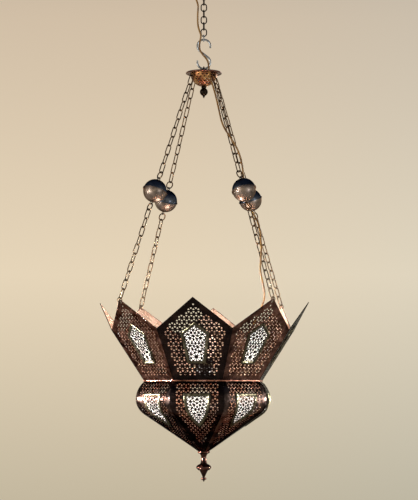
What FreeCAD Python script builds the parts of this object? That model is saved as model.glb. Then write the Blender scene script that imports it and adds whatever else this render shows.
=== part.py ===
"""Pierced copper lantern hanging on four chains from a small canopy, an S-hook and a ceiling chain.

Millimetres, +Z up.  The origin is the centre of the ceiling face, so the whole lantern lies below Z = 0.
One crown panel faces -Y.  Panels are counted anticlockwise from it, seen from above.
"""
import FreeCAD, Part
import Sketcher
import math
import os

from FreeCAD import Placement, Rotation, Vector

# ---------------------------------------------------------------- driving dimensions
SIZES = [
    # ceiling fitting
    ("plate_dia", 84), ("plate_thick", 2.5), ("plate_hole_dia", 5), ("plate_hole_pitch", 60),
    ("rose_dia", 100), ("rose_depth", 26), ("rose_bend", 17), ("rose_thick", 1.2), ("rose_gap", 0.3),
    ("hook_wire", 4.5), ("hook_bend", 8), ("hook_crook", 5), ("hook_end_angle", 160),
    ("nut_across", 10), ("nut_height", 5), ("screw_clearance", 0.25),
    ("terminal_length", 30), ("terminal_width", 14), ("terminal_height", 12), ("terminal_offset", 22),
    ("bush_dia", 10), ("bush_height", 7), ("bush_flange_width", 1), ("bush_flange_height", 4),
    # ceiling chain and S-hook
    ("drop_links", 6), ("drop_link_length", 18.25), ("drop_link_width", 13.25), ("drop_link_wire", 2.75),
    ("end_link_length", 14.9), ("end_link_width", 8.6), ("end_link_wire", 2.6),
    ("hook_wire_s", 4.6), ("hook_bend_s", 15.7), ("hook_spread_s", 40), ("hook_tail_s", 5),
    ("link_gap", 0.15), ("joint_gap", 0.3),
    # canopy
    ("canopy_level", 238), ("canopy_dia", 83.6), ("canopy_thick", 1.5), ("rim_wire", 4),
    ("dome_dia", 66), ("dome_depth", 32), ("dome_thick", 1), ("eye_bend", 6.5), ("eye_wire", 3),
    ("hanger_radius", 37), ("hanger_bend", 4.2), ("hanger_wire", 2.4), ("hanger_head", 6),
    ("hanger_head_thick", 1.5), ("hanger_drop", 1), ("hanger_stem_rise", 1),
    ("cord_hole_dia", 6.5), ("cord_hole_x", 16), ("cord_hole_y", -33.5),
    ("canopy_ball_dia", 19.3), ("canopy_collar_dia", 12), ("canopy_collar_height", 5),
    ("canopy_tip_dia", 7), ("canopy_tip_end_dia", 1.75), ("canopy_tip_length", 7), ("canopy_rod_dia", 4),
    ("canopy_lap", 2), ("canopy_bore_room", 1),
    # the four lantern chains with their balls
    ("chain_wire", 2.5), ("chain_link_width", 10.5), ("upper_links", 11), ("lower_links", 10),
    ("ball_share", 0.524), ("ball_dia", 55.5), ("ball_wall", 1), ("lip_width", 1.5), ("lip_thick", 1.2),
    ("lug_bend", 3.6), ("lug_wire", 2), ("ball_ring_bend", 8.8), ("ball_ring_wire", 2.8),
    ("tip_ring_bend", 6), ("tip_ring_wire", 2.2), ("tip_hole_dia", 5), ("tip_hole_inset", 8),
    # crown
    ("neck_level", 981), ("neck_apothem", 134.6), ("crown_reach", 250), ("crown_rise", 186),
    ("valley_rise", 118), ("sheet", 1), ("seam_gap", 0.1), ("bead_dia", 6.4), ("bead_gap", 0.1),
    ("window_top", 155.5), ("window_shoulder_drop", 30), ("window_shoulder_half", 33),
    ("window_drop", 109), ("window_foot_half", 20.5), ("window_frame", 6), ("window_thick", 1.4),
    ("diffuser_lap", 4), ("diffuser_thick", 2), ("fit_gap", 0.1),
    # bowl: how far the octagon's corners stand out from its neck's, and depths below the neck
    ("bowl_neck_inset", 1.2), ("bulge_reach", 22.5), ("bulge_depth", 43), ("shoulder_bend", 52.3),
    ("shoulder_turn", 27), ("hip_reach", 3.8), ("hip_depth", 77.4), ("hip_bend", 41), ("hip_turn", 30),
    ("toe_radius", 15), ("toe_depth", 164),
    ("bowl_window_top", 30), ("bowl_window_foot", 106), ("bowl_window_half", 31), ("bowl_frame", 7),
    # bottom finial
    ("finial_seat", 1.5), ("finial_collar_dia", 28), ("finial_collar_thick", 9), ("collar_flare", 2),
    ("finial_waist_dia", 11), ("waist_flare", 3), ("finial_waist_length", 27),
    ("finial_disc_dia", 35), ("finial_disc_thick", 5), ("section_lap", 0.5), ("finial_point_dia", 2.1),
    ("finial_cone_length", 22), ("finial_cone_dia", 20), ("finial_cone_end_dia", 4.2),
    ("finial_button_dia", 12), ("finial_button_thick", 5), ("finial_tip_length", 5), ("finial_stud_dia", 6),
    ("finial_stud_length", 16), ("stud_root", 2), ("washer_dia", 20), ("washer_thick", 1.5),
    ("washer_seat", 5),
    # lamp
    ("bar_width", 18), ("bar_thick", 3), ("holder_dia", 40), ("holder_height", 52),
    ("collar_height", 8), ("collar_width", 4), ("cap_dia", 26.6), ("cap_height", 27),
    ("cap_clearance", 0.5), ("cap_room", 2), ("bulb_dia", 60), ("bulb_rise", 62), ("bulb_neck_dia", 27),
    ("bulb_shoulder_dia", 51.6), ("bulb_throat_drop", 15), ("glass_thick", 1),
    ("grip_dia", 10), ("grip_length", 14), ("grip_level", 14), ("grip_root", 0.5), ("grip_end_wall", 1),
    ("cord_dia", 4.3),
]

# Routes of the flex, chosen by eye.  Each list starts where the one above it ends.
CORD_CEILING = [(-22, -8, -33), (-21, -9, -47), (-17, -12, -61), (-12, -13, -75), (-14, -10, -92),
                (-14, -9, -109)]
CORD_HOOK = [(-14, -9, -109), (-14, -8.3, -121), (-10, -11, -136), (-5, -13.5, -149),
             (-8, -12.5, -161), (-9, -12.5, -171)]
CORD_CANOPY = [(-9, -12.5, -171), (-10, -12.5, -181), (-3, -15, -194), (9, -22, -208),
               (15, -30, -222), (16, -33.5, -236)]
CORD_LANTERN = [(16, -33.5, -236), (17, -37, -250), (23, -43, -268), (33, -51, -300), (42, -60, -338),
                (51, -68, -378), (73, -85, -411), (90, -86, -440), (99, -79, -470), (102, -70, -512),
                (103, -69, -552), (118, -95, -578), (131, -112, -600), (142, -124, -624), (147, -144, -656),
                (149, -160, -692), (145, -162, -730), (154, -161, -764), (157, -159, -792),
                (145, -148, -822), (124, -129, -860), (99, -104, -898), (72, -76, -932), (48, -50, -954),
                (35, -35.5, -962), (24, -24, -965.4)]

doc = FreeCAD.newDocument("lantern")
sizes = doc.addObject("Spreadsheet::Sheet", "sizes")
for row, (alias, value) in enumerate(SIZES, start=1):
    sizes.set(f"A{row}", alias)
    sizes.set(f"B{row}", str(value))
    sizes.setAlias(f"B{row}", alias)
doc.recompute()

SIDES = 8
STEP = 360 / SIDES
HALF_STEP = math.radians(STEP / 2)
HUNG_SIDES = (1, 3, 5, 7)
subparts = []


# ---------------------------------------------------------------- helpers
def keep(thing, name):
    """Mark a document object as a sub-part that is written out under its name."""
    thing.Label = name
    subparts.append(thing)
    return thing


def feature(name, shape, placement=None):
    """A kept sub-part whose shape is worked out here."""
    thing = doc.addObject("Part::Feature", name)
    thing.Shape = shape
    if placement is not None:
        thing.Placement = placement
    return keep(thing, name)


def primitive(kind, name, bindings, placement=None):
    """A Part primitive whose properties are bound to the sheet."""
    thing = doc.addObject("Part::" + kind, name)
    for prop, text in bindings.items():
        thing.setExpression(prop, text)
    if placement is not None:
        thing.Placement = placement
    return thing


def join(name, pieces):
    """One solid fused from several document objects."""
    thing = doc.addObject("Part::MultiFuse", name)
    thing.Shapes = pieces
    thing.Refine = True
    return thing


def cut(name, base, tool):
    """One document object with another taken out of it."""
    thing = doc.addObject("Part::Cut", name)
    thing.Base = base
    thing.Tool = tool
    return thing


def new_sketch(body, name, role):
    """A sketch on one of the body's own origin planes."""
    sketch = body.newObject("Sketcher::SketchObject", name)
    plane = next(item for item in body.Origin.OriginFeatures if item.Role == role)
    sketch.AttachmentSupport = [(plane, "")]
    sketch.MapMode = "FlatFace"
    return sketch


def bind_point(sketch, edge, corner, x_text, y_text):
    """Tie one point of a sketch edge to two sheet expressions."""
    for kind, text in (("DistanceX", x_text), ("DistanceY", y_text)):
        value = doc.sizes.evalExpression(text)
        index = sketch.addConstraint(Sketcher.Constraint(kind, -1, 1, edge, corner, float(value)))
        sketch.setExpression(f"Constraints[{index}]", text)


def add_outline(sketch, corners):
    """A closed polygon whose corners are pairs of sheet expressions."""
    first = sketch.GeometryCount
    spots = [Vector(float(sizes.evalExpression(x)), float(sizes.evalExpression(y)), 0) for x, y in corners]
    count = len(spots)
    for index in range(count):
        sketch.addGeometry(Part.LineSegment(spots[index], spots[(index + 1) % count]), False)
    for index in range(count):
        edge, following = first + index, first + (index + 1) % count
        sketch.addConstraint(Sketcher.Constraint("Coincident", edge, 2, following, 1))
    for index, (x_text, y_text) in enumerate(corners):
        bind_point(sketch, first + index, 1, x_text, y_text)


def add_circle(sketch, x_text, y_text, dia_text):
    """A circle whose centre and diameter are sheet expressions."""
    edge = sketch.GeometryCount
    centre = Vector(float(sizes.evalExpression(x_text)), float(sizes.evalExpression(y_text)), 0)
    radius = float(sizes.evalExpression(dia_text)) / 2
    sketch.addGeometry(Part.Circle(centre, Vector(0, 0, 1), radius), False)
    bind_point(sketch, edge, 3, x_text, y_text)
    index = sketch.addConstraint(Sketcher.Constraint("Diameter", edge, radius * 2))
    sketch.setExpression(f"Constraints[{index}]", dia_text)


def pad(body, name, sketch, length_text):
    """A pad of the sketch, upwards from its plane."""
    thing = body.newObject("PartDesign::Pad", name)
    thing.Profile = sketch
    thing.setExpression("Length", length_text)
    body.Tip = thing
    return thing


def pocket(body, name, sketch):
    """A pocket of the sketch right through the pad above it."""
    thing = body.newObject("PartDesign::Pocket", name)
    thing.Profile = sketch
    thing.Type = "ThroughAll"
    thing.Reversed = True
    body.Tip = thing
    return thing


def turned(angle, placement=None):
    """A placement turned about the lantern's axis."""
    turn = Placement(Vector(0, 0, 0), Rotation(Vector(0, 0, 1), angle))
    return turn if placement is None else turn.multiply(placement)


def side_turn(side):
    """The turn that takes the panel facing -Y to another side."""
    return turned(side * STEP)


def copies(shape, placements):
    """A group of separate solids, one at each placement."""
    placed = []
    for placement in placements:
        twin = shape.copy()
        twin.Placement = placement.multiply(twin.Placement)
        placed.append(twin)
    return Part.makeCompound(placed)


def ring_shape(bend, wire):
    """A round wire ring about its own Z axis."""
    return Part.makeTorus(bend, wire / 2)


def link_shape(length, width, wire):
    """A chain link in its own XZ plane, long way along Z.  Length and width are to the wire's middle."""
    bend = width / 2
    straight = length - width
    section = Part.Face(Part.Wire(Part.makeCircle(wire / 2, Vector(bend, 0, 0), Vector(0, 0, 1))))
    pieces = []
    for end in (1, -1):
        bow = section.revolve(Vector(0, 0, 0), Vector(0, 1, 0), -180 * end)
        bow.translate(Vector(0, 0, end * straight / 2))
        pieces.append(bow)
        foot = Vector(end * bend, 0, -straight / 2)
        pieces.append(Part.makeCylinder(wire / 2, straight, foot, Vector(0, 0, 1)))
    return pieces[0].multiFuse(pieces[1:]).removeSplitter()


def arc_between(centre, radius, start, end):
    """An arc in the XZ plane about a centre, from one angle to another in degrees."""
    def spot(angle):
        rad = math.radians(angle)
        return Vector(centre[0] + radius * math.cos(rad), 0, centre[1] + radius * math.sin(rad))
    return Part.Arc(spot(start), spot((start + end) / 2), spot(end)).toShape()


def wire_solid(edges, dia):
    """A round wire swept along connected edges, with its ends square."""
    path = Part.Wire(Part.__sortEdges__(edges))
    first = path.OrderedEdges[0]
    start = path.OrderedVertexes[0].Point
    parameter = first.getParameterByLength(0)
    heading = first.tangentAt(parameter)
    if first.valueAt(parameter).distanceToPoint(start) > 1e-6:
        parameter = first.getParameterByLength(first.Length)
        heading = first.tangentAt(parameter).negative()
    section = Part.Wire(Part.makeCircle(dia / 2, start, heading))
    return path.makePipeShell([section], True, False)


def cord_tube(name, route):
    """A tube of straight runs joined by arcs, each as large as its two runs allow."""
    points = [Vector(*point) for point in route]
    edges, radii = [], []
    last = points[0]
    for before, corner, after in zip(points, points[1:], points[2:]):
        inward, outward = (corner - before), (after - corner)
        turn = inward.getAngle(outward)
        radius = 0.45 * min(inward.Length, outward.Length) / math.tan(turn / 2)
        setback = radius * math.tan(turn / 2)
        inward.normalize()
        outward.normalize()
        start, end = corner - inward * setback, corner + outward * setback
        bisector = (outward - inward).normalize()
        middle = corner + bisector * (radius / math.cos(turn / 2) - radius)
        edges.append(Part.LineSegment(last, start).toShape())
        edges.append(Part.Arc(start, middle, end).toShape())
        radii.append(radius)
        last = end
    edges.append(Part.LineSegment(last, points[-1]).toShape())
    path = Part.Wire(edges)
    section = Part.Wire(Part.makeCircle(sizes.cord_dia / 2, points[0], points[1] - points[0]))
    tube = path.makePipeShell([section], True, False)
    expected = math.pi * sizes.cord_dia ** 2 / 4 * path.Length
    print(f"{name}: length {path.Length:.0f}, volume ratio {tube.Volume / expected:.4f}, "
          f"radii {[round(radius) for radius in radii]}")
    return feature(name, tube)


# ---------------------------------------------------------------- levels that follow from the sizes
CANOPY_TOP = -sizes.canopy_level
NECK = -sizes.neck_level
EYE_CENTRE = CANOPY_TOP + sizes.eye_bend + sizes.eye_wire / 2
EYE_BAR = EYE_CENTRE + sizes.eye_bend
S_BOTTOM = EYE_BAR - (sizes.eye_wire + sizes.hook_wire_s) / 2 - sizes.joint_gap
S_LOW_CENTRE = S_BOTTOM + sizes.hook_bend_s
S_HIGH_CENTRE = S_LOW_CENTRE + sizes.hook_spread_s
S_TOP = S_HIGH_CENTRE + sizes.hook_bend_s
END_LINK_BAR = S_TOP - (sizes.hook_wire_s + sizes.end_link_wire) / 2 - sizes.joint_gap
END_LINK_CENTRE = END_LINK_BAR + sizes.end_link_length / 2
LAST_LINK_BAR = (END_LINK_BAR + sizes.end_link_length
                 - (sizes.end_link_wire + sizes.drop_link_wire) / 2 - sizes.link_gap)
DROP_PITCH = sizes.drop_link_length - sizes.drop_link_wire - sizes.link_gap
FIRST_LINK_BAR = LAST_LINK_BAR + sizes.drop_link_length + (sizes.drop_links - 1) * DROP_PITCH
HOOK_BOTTOM = FIRST_LINK_BAR - (sizes.hook_wire + sizes.drop_link_wire) / 2 - sizes.joint_gap
HOOK_CENTRE = HOOK_BOTTOM + sizes.hook_bend
CROWN_LEAN = math.atan2(sizes.crown_reach - sizes.neck_apothem, sizes.crown_rise)
BOWL_NECK_RADIUS = sizes.neck_apothem / math.cos(HALF_STEP) - sizes.bowl_neck_inset
BULGE_RADIUS = BOWL_NECK_RADIUS + sizes.bulge_reach
HIP_RADIUS = BOWL_NECK_RADIUS + sizes.hip_reach


# ---------------------------------------------------------------- ceiling fitting
def ceiling_plate():
    """A round plate on the ceiling with two screw holes and one for the hook's shank."""
    body = doc.addObject("PartDesign::Body", "ceiling_plate")
    outline = new_sketch(body, "plate_outline", "XY_Plane")
    add_circle(outline, "0 * sizes.plate_dia", "0 * sizes.plate_dia", "sizes.plate_dia")
    pad(body, "plate_pad", outline, "sizes.plate_thick")
    holes = new_sketch(body, "plate_holes", "XY_Plane")
    for sign in ("0.5", "-0.5"):
        add_circle(holes, f"{sign} * sizes.plate_hole_pitch", "0 * sizes.plate_dia", "sizes.plate_hole_dia")
    add_circle(holes, "0 * sizes.plate_dia", "0 * sizes.plate_dia",
               "sizes.hook_wire + 2 * sizes.screw_clearance")
    pocket(body, "plate_drilling", holes)
    body.Placement = Placement(Vector(0, 0, -sizes.plate_thick), Rotation())
    keep(body, "ceiling_plate")


def ceiling_rose():
    """A spun cup over the plate, open at the ceiling."""
    top, floor, wall = -sizes.rose_gap, -sizes.rose_depth, sizes.rose_thick
    centre = (sizes.rose_dia / 2 - sizes.rose_bend, floor + sizes.rose_bend)
    solids = []
    for inset in (0, wall):
        side, base = sizes.rose_dia / 2 - inset, floor + inset
        curve = arc_between(centre, sizes.rose_bend - inset, 0, -90)
        corners = [Vector(centre[0], 0, base), Vector(0, 0, base), Vector(0, 0, top),
                   Vector(side, 0, top), Vector(side, 0, centre[1])]
        edges = [curve] + [Part.LineSegment(a, b).toShape() for a, b in zip(corners, corners[1:])]
        face = Part.Face(Part.Wire(Part.__sortEdges__(edges)))
        solids.append(face.revolve(Vector(0, 0, 0), Vector(0, 0, 1), 360))
    cup = solids[0].cut(solids[1])
    shank_hole = Part.makeCylinder(sizes.hook_wire / 2 + sizes.screw_clearance, sizes.rose_depth,
                                   Vector(0, 0, floor - wall), Vector(0, 0, 1))
    cord_x, cord_y = CORD_CEILING[0][:2]
    bush_hole = Part.makeCylinder(sizes.bush_dia / 2 - wall + sizes.fit_gap, sizes.rose_depth,
                                  Vector(cord_x, cord_y, floor - wall), Vector(0, 0, 1))
    feature("ceiling_rose", cup.cut(shank_hole).cut(bush_hole))


def ceiling_hook():
    """A wire hook that hangs through the rose, open on one side, with a straight shank."""
    bend = sizes.hook_bend
    crook = sizes.hook_crook
    rise = math.sqrt(bend ** 2 + 2 * bend * crook)
    meet = math.degrees(math.atan2(rise, crook))
    shank_foot = Vector(0, 0, HOOK_CENTRE + rise)
    shank = Part.LineSegment(Vector(0, 0, -sizes.plate_thick / 2), shank_foot).toShape()
    crook_arc = arc_between((crook, HOOK_CENTRE + rise), crook, 180, 180 + meet)
    round_arc = arc_between((0, HOOK_CENTRE), bend, meet, sizes.hook_end_angle - 360)
    feature("ceiling_hook", wire_solid([shank, crook_arc, round_arc], sizes.hook_wire))


def hex_prism(across, height, centre):
    """A hexagon prism standing on its centre point."""
    radius = across / math.sqrt(3)
    corners = [Vector(radius * math.cos(math.radians(60 * k)), radius * math.sin(math.radians(60 * k)), 0)
               for k in range(7)]
    prism = Part.Face(Part.makePolygon(corners)).extrude(Vector(0, 0, height))
    prism.translate(centre)
    return prism


def bored(shape, dia, base, height):
    """The shape with an upright hole through it."""
    return shape.cut(Part.makeCylinder(dia / 2, height, base, Vector(0, 0, 1)))


def hook_nut():
    """The nut inside the rose that carries the hook under the plate."""
    base = Vector(0, 0, -sizes.plate_thick - sizes.nut_height - sizes.fit_gap)
    bore = sizes.hook_wire + 2 * sizes.fit_gap
    nut = hex_prism(sizes.nut_across, sizes.nut_height, base)
    feature("hook_nut", bored(nut, bore, base, sizes.nut_height))


def terminal_block():
    """The connector block under the plate, where the flex is joined to the supply."""
    corner = Vector(-sizes.terminal_length / 2, sizes.terminal_offset - sizes.terminal_width / 2,
                    -sizes.plate_thick - sizes.terminal_height - sizes.fit_gap)
    block = primitive("Box", "terminal_body",
                      {"Length": "sizes.terminal_length", "Width": "sizes.terminal_width",
                       "Height": "sizes.terminal_height"}, Placement(corner, Rotation()))
    keep(block, "terminal_block")


def cord_bush():
    """The bush in the rose's floor that the flex comes out of, with its flange below."""
    cord_x, cord_y = CORD_CEILING[0][:2]
    flange_top = -sizes.rose_depth - sizes.fit_gap
    foot = Vector(cord_x, cord_y, flange_top - sizes.bush_flange_height)
    flange = Part.makeCylinder(sizes.bush_dia / 2 + sizes.bush_flange_width, sizes.bush_flange_height, foot)
    sleeve = Part.makeCylinder(sizes.bush_dia / 2 - sizes.rose_thick, sizes.bush_height, foot)
    feature("cord_bush", flange.fuse(sleeve).removeSplitter())


# ---------------------------------------------------------------- ceiling chain and S-hook
def ceiling_chain():
    """Oval links in turn across and along, the first of them round the ceiling hook."""
    link = link_shape(sizes.drop_link_length, sizes.drop_link_width, sizes.drop_link_wire)
    places = []
    for index in range(int(sizes.drop_links)):
        centre = FIRST_LINK_BAR - sizes.drop_link_length / 2 - index * DROP_PITCH
        quarter = 90 if index % 2 == 0 else 0
        places.append(Placement(Vector(0, 0, centre), Rotation(Vector(0, 0, 1), quarter)))
    feature("ceiling_chain", copies(link, places))


def chain_end_link():
    """The small last link that the S-hook hangs in, across the hook's plane."""
    link = link_shape(sizes.end_link_length, sizes.end_link_width, sizes.end_link_wire)
    feature("chain_end_link", link,
            Placement(Vector(0, 0, END_LINK_CENTRE), Rotation(Vector(0, 0, 1), 90)))


def s_hook():
    """Two round bends joined by the slanting line that touches both."""
    bend = sizes.hook_bend_s
    lean = math.degrees(math.acos(2 * bend / sizes.hook_spread_s))
    high, low = (0, S_HIGH_CENTRE), (0, S_LOW_CENTRE)
    upper = arc_between(high, bend, 0, 270 - lean)
    lower = arc_between(low, bend, 90 - lean, -180)
    diagonal = Part.LineSegment(upper.valueAt(upper.LastParameter),
                                lower.valueAt(lower.FirstParameter)).toShape()
    tails = [Part.LineSegment(Vector(bend, 0, S_HIGH_CENTRE - sizes.hook_tail_s),
                              Vector(bend, 0, S_HIGH_CENTRE)).toShape(),
             Part.LineSegment(Vector(-bend, 0, S_LOW_CENTRE),
                              Vector(-bend, 0, S_LOW_CENTRE + sizes.hook_tail_s)).toShape()]
    feature("s_hook", wire_solid([tails[0], upper, diagonal, lower, tails[1]], sizes.hook_wire_s))


# ---------------------------------------------------------------- canopy
def hanger_places(offset):
    """Where the four hanger eyes sit on the canopy, at a height beside its top."""
    seat = Placement(Vector(sizes.hanger_radius, 0, CANOPY_TOP + offset), Rotation())
    return [turned(side * STEP - 90, seat) for side in HUNG_SIDES]


def canopy_plate():
    """A disc with a rolled rim, four hanger holes, a hole for the eye and one for the flex."""
    disc = Part.makeCylinder(sizes.canopy_dia / 2, sizes.canopy_thick,
                             Vector(0, 0, CANOPY_TOP - sizes.canopy_thick))
    rim = Part.makeTorus(sizes.canopy_dia / 2, sizes.rim_wire / 2,
                         Vector(0, 0, CANOPY_TOP - sizes.canopy_thick / 2))
    plate = disc.fuse(rim)
    floor = CANOPY_TOP - 2 * sizes.canopy_thick
    depth = 3 * sizes.canopy_thick
    plate = bored(plate, sizes.canopy_rod_dia + 2 * sizes.fit_gap, Vector(0, 0, floor), depth)
    plate = bored(plate, sizes.cord_hole_dia, Vector(sizes.cord_hole_x, sizes.cord_hole_y, floor), depth)
    for place in hanger_places(-2 * sizes.canopy_thick):
        plate = bored(plate, sizes.hanger_wire + 2 * sizes.fit_gap, place.Base, depth)
    feature("canopy_plate", plate)


def cap_shell(radius, depth, wall):
    """A shallow round cup, rim up at Z = 0, as the lens-shaped skin between two spheres."""
    ball_radius = (radius ** 2 + depth ** 2) / (2 * depth)
    centre = Vector(0, 0, ball_radius - depth)
    outer, inner = Part.makeSphere(ball_radius, centre), Part.makeSphere(ball_radius - wall, centre)
    below = Part.makeBox(4 * radius, 4 * radius, 2 * depth, Vector(-2 * radius, -2 * radius, -2 * depth))
    return outer.cut(inner).common(below)


def canopy_dome():
    """The round cup that hangs under the plate, bored for the finial's rod."""
    shell = cap_shell(sizes.dome_dia / 2, sizes.dome_depth, sizes.dome_thick)
    shell = bored(shell, sizes.canopy_rod_dia + 2 * sizes.fit_gap, Vector(0, 0, -2 * sizes.dome_depth),
                  2 * sizes.dome_depth)
    feature("canopy_dome", shell,
            Placement(Vector(0, 0, CANOPY_TOP - sizes.canopy_thick - sizes.fit_gap), Rotation()))


def canopy_eye():
    """The ring that the S-hook carries and the threaded rod below it that clamps plate and dome."""
    ring = ring_shape(sizes.eye_bend, sizes.eye_wire)
    ring.rotate(Vector(0, 0, 0), Vector(0, 1, 0), 90)
    ring.translate(Vector(0, 0, EYE_CENTRE))
    foot = CANOPY_TOP - sizes.canopy_thick - sizes.dome_depth - sizes.canopy_collar_height
    rod = Part.makeCylinder(sizes.canopy_rod_dia / 2, EYE_CENTRE - sizes.eye_bend - foot,
                            Vector(0, 0, foot))
    feature("canopy_eye", ring.fuse(rod))


def canopy_finial():
    """Collar, ball and small pointed tip screwed on the rod under the dome."""
    top = CANOPY_TOP - sizes.canopy_thick - sizes.dome_depth - 2 * sizes.fit_gap
    ball = sizes.canopy_ball_dia / 2
    ball_centre = top - sizes.canopy_collar_height - ball + sizes.canopy_lap
    collar = primitive("Cylinder", "canopy_collar",
                       {"Radius": "sizes.canopy_collar_dia / 2", "Height": "sizes.canopy_collar_height"},
                       Placement(Vector(0, 0, top - sizes.canopy_collar_height), Rotation()))
    sphere = primitive("Sphere", "canopy_ball", {"Radius": "sizes.canopy_ball_dia / 2"},
                       Placement(Vector(0, 0, ball_centre), Rotation()))
    tip = primitive("Cone", "canopy_tip",
                    {"Radius1": "sizes.canopy_tip_end_dia / 2", "Radius2": "sizes.canopy_tip_dia / 2",
                     "Height": "sizes.canopy_tip_length"},
                    Placement(Vector(0, 0, ball_centre - ball - sizes.canopy_tip_length
                                     + sizes.canopy_lap / 2), Rotation()))
    solid = join("canopy_finial_solid", [collar, sphere, tip])
    bore = primitive("Cylinder", "canopy_finial_bore",
                     {"Radius": "sizes.canopy_rod_dia / 2 + sizes.fit_gap",
                      "Height": "sizes.canopy_collar_height + sizes.canopy_bore_room"},
                     Placement(Vector(0, 0, top - sizes.canopy_collar_height), Rotation()))
    keep(cut("canopy_finial", solid, bore), "canopy_finial")


def hanger_eyes():
    """Four wire eyes with a head above the plate, one for each lantern chain."""
    wire, bend = sizes.hanger_wire, sizes.hanger_bend
    drop = sizes.canopy_thick + sizes.hanger_drop + bend + wire / 2
    ring = ring_shape(bend, wire)
    ring.rotate(Vector(0, 0, 0), Vector(0, 1, 0), 90)
    ring.translate(Vector(0, 0, -drop))
    stem = Part.makeCylinder(wire / 2, drop - bend, Vector(0, 0, -drop + bend))
    head = Part.makeCylinder(sizes.hanger_head / 2, sizes.hanger_head_thick, Vector(0, 0, sizes.fit_gap))
    stem_top = Part.makeCylinder(wire / 2, sizes.hanger_stem_rise)
    eye = ring.multiFuse([stem, stem_top, head])
    feature("hanger_eyes", copies(eye, hanger_places(0)))


# ---------------------------------------------------------------- lantern chains
def chain_line():
    """Both ends of a chain in the plane of radius and height, and its direction downwards."""
    drop = sizes.canopy_thick + sizes.hanger_drop + 2 * sizes.hanger_bend + sizes.hanger_wire / 2
    top = Vector(sizes.hanger_radius, 0, CANOPY_TOP - drop)
    slope = Vector(math.sin(CROWN_LEAN), 0, math.cos(CROWN_LEAN))
    reach = sizes.sheet / 2
    slant = (sizes.crown_rise / math.cos(CROWN_LEAN)) - sizes.tip_hole_inset + sizes.tip_ring_bend
    outward = Vector(math.cos(CROWN_LEAN), 0, -math.sin(CROWN_LEAN))
    foot = Vector(sizes.neck_apothem, 0, NECK) + slope * slant + outward * reach
    return top, foot, (foot - top).normalize()


def along(origin, heading, distance, twist=0.0):
    """A placement whose own -Z axis runs down the chain, twisted about it."""
    place = Placement(origin + heading * distance, Rotation(Vector(0, 0, -1), heading))
    return place.multiply(Placement(Vector(0, 0, 0), Rotation(Vector(0, 0, 1), twist)))


def run_of_links(start_bar, end_bar, start_wire, end_wire, count, first_twist):
    """Link length and the distances and twists of a run that hangs between two rings' bars."""
    wire, gap = sizes.chain_wire, sizes.link_gap
    first = start_bar - (start_wire + wire) / 2 - gap
    last = end_bar + (end_wire + wire) / 2 + gap
    length = (last - first + (count - 1) * (wire + gap)) / count
    pitch = length - wire - gap
    spots = [(first + length / 2 + pitch * index, first_twist + 90 * index) for index in range(count)]
    return length, spots


TOP, FOOT, DOWN = chain_line()
CHAIN_LENGTH = (FOOT - TOP).Length
BALL_SPOT = CHAIN_LENGTH * sizes.ball_share
LUG_SPOT = sizes.ball_dia / 2 + sizes.lug_bend
RING_SPOT = LUG_SPOT + sizes.lug_bend - sizes.lug_wire / 2 - sizes.ball_ring_wire / 2 - sizes.link_gap \
    + sizes.ball_ring_bend


def ball_half(direction):
    """Half of a hollow ball with its lip at the middle and a wire lug at its pole."""
    radius, wall = sizes.ball_dia / 2, sizes.ball_wall
    big = 3 * radius
    base = 0 if direction > 0 else -big
    side = Part.makeBox(2 * big, 2 * big, big, Vector(-big, -big, base))
    shell = Part.makeSphere(radius).cut(Part.makeSphere(radius - wall)).common(side)
    lip_base = 0 if direction > 0 else -sizes.lip_thick
    lip = Part.makeCylinder(radius + sizes.lip_width, sizes.lip_thick, Vector(0, 0, lip_base))
    lip = lip.cut(Part.makeCylinder(radius - wall, sizes.lip_thick, Vector(0, 0, lip_base)))
    lug = ring_shape(sizes.lug_bend, sizes.lug_wire)
    lug.rotate(Vector(0, 0, 0), Vector(1, 0, 0), 90)
    lug.translate(Vector(0, 0, direction * LUG_SPOT))
    lug = lug.cut(Part.makeSphere(radius - wall / 2))
    half = shell.multiFuse([lip, lug]).removeSplitter()
    half.translate(Vector(0, 0, direction * sizes.fit_gap / 2))
    return half


def lantern_chains():
    """Four chains from the canopy to the crown's alternate points, each with a ball on the way."""
    ring = ring_shape(sizes.ball_ring_bend, sizes.ball_ring_wire)
    ring.rotate(Vector(0, 0, 0), Vector(0, 1, 0), 90)
    bar = sizes.ball_ring_bend
    upper_length, upper = run_of_links(0, BALL_SPOT - RING_SPOT - bar, sizes.hanger_wire,
                                       sizes.ball_ring_wire, int(sizes.upper_links), 0)
    lower_length, lower = run_of_links(BALL_SPOT + RING_SPOT + bar, CHAIN_LENGTH - sizes.tip_ring_bend,
                                       sizes.ball_ring_wire, sizes.tip_ring_wire,
                                       int(sizes.lower_links), 0)
    ball_places, ring_places = [], []
    for number, side in enumerate(HUNG_SIDES, start=1):
        turn = turned(side * STEP - 90)
        links = []
        for length, spots in ((upper_length, upper), (lower_length, lower)):
            link = link_shape(length, sizes.chain_link_width, sizes.chain_wire)
            places = [turn.multiply(along(TOP, DOWN, spot, twist)) for spot, twist in spots]
            links.extend(copies(link, places).Solids)
        feature(f"chain_{number}", Part.makeCompound(links))
        ball_places.append(turn.multiply(along(TOP, DOWN, BALL_SPOT)))
        for spot in (BALL_SPOT - RING_SPOT, BALL_SPOT + RING_SPOT):
            ring_places.append(turn.multiply(along(TOP, DOWN, spot)))
    feature("ball_tops", copies(ball_half(1), ball_places))
    feature("ball_bottoms", copies(ball_half(-1), ball_places))
    feature("ball_rings", copies(ring, ring_places))


def tip_rings():
    """Four rings through the crown's points, standing in the planes of the chains."""
    ring = ring_shape(sizes.tip_ring_bend, sizes.tip_ring_wire)
    ring.rotate(Vector(0, 0, 0), Vector(1, 0, 0), 90)
    feature("tip_rings", copies(ring, [turned(side * STEP - 90, Placement(FOOT, Rotation()))
                                       for side in HUNG_SIDES]))


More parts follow.
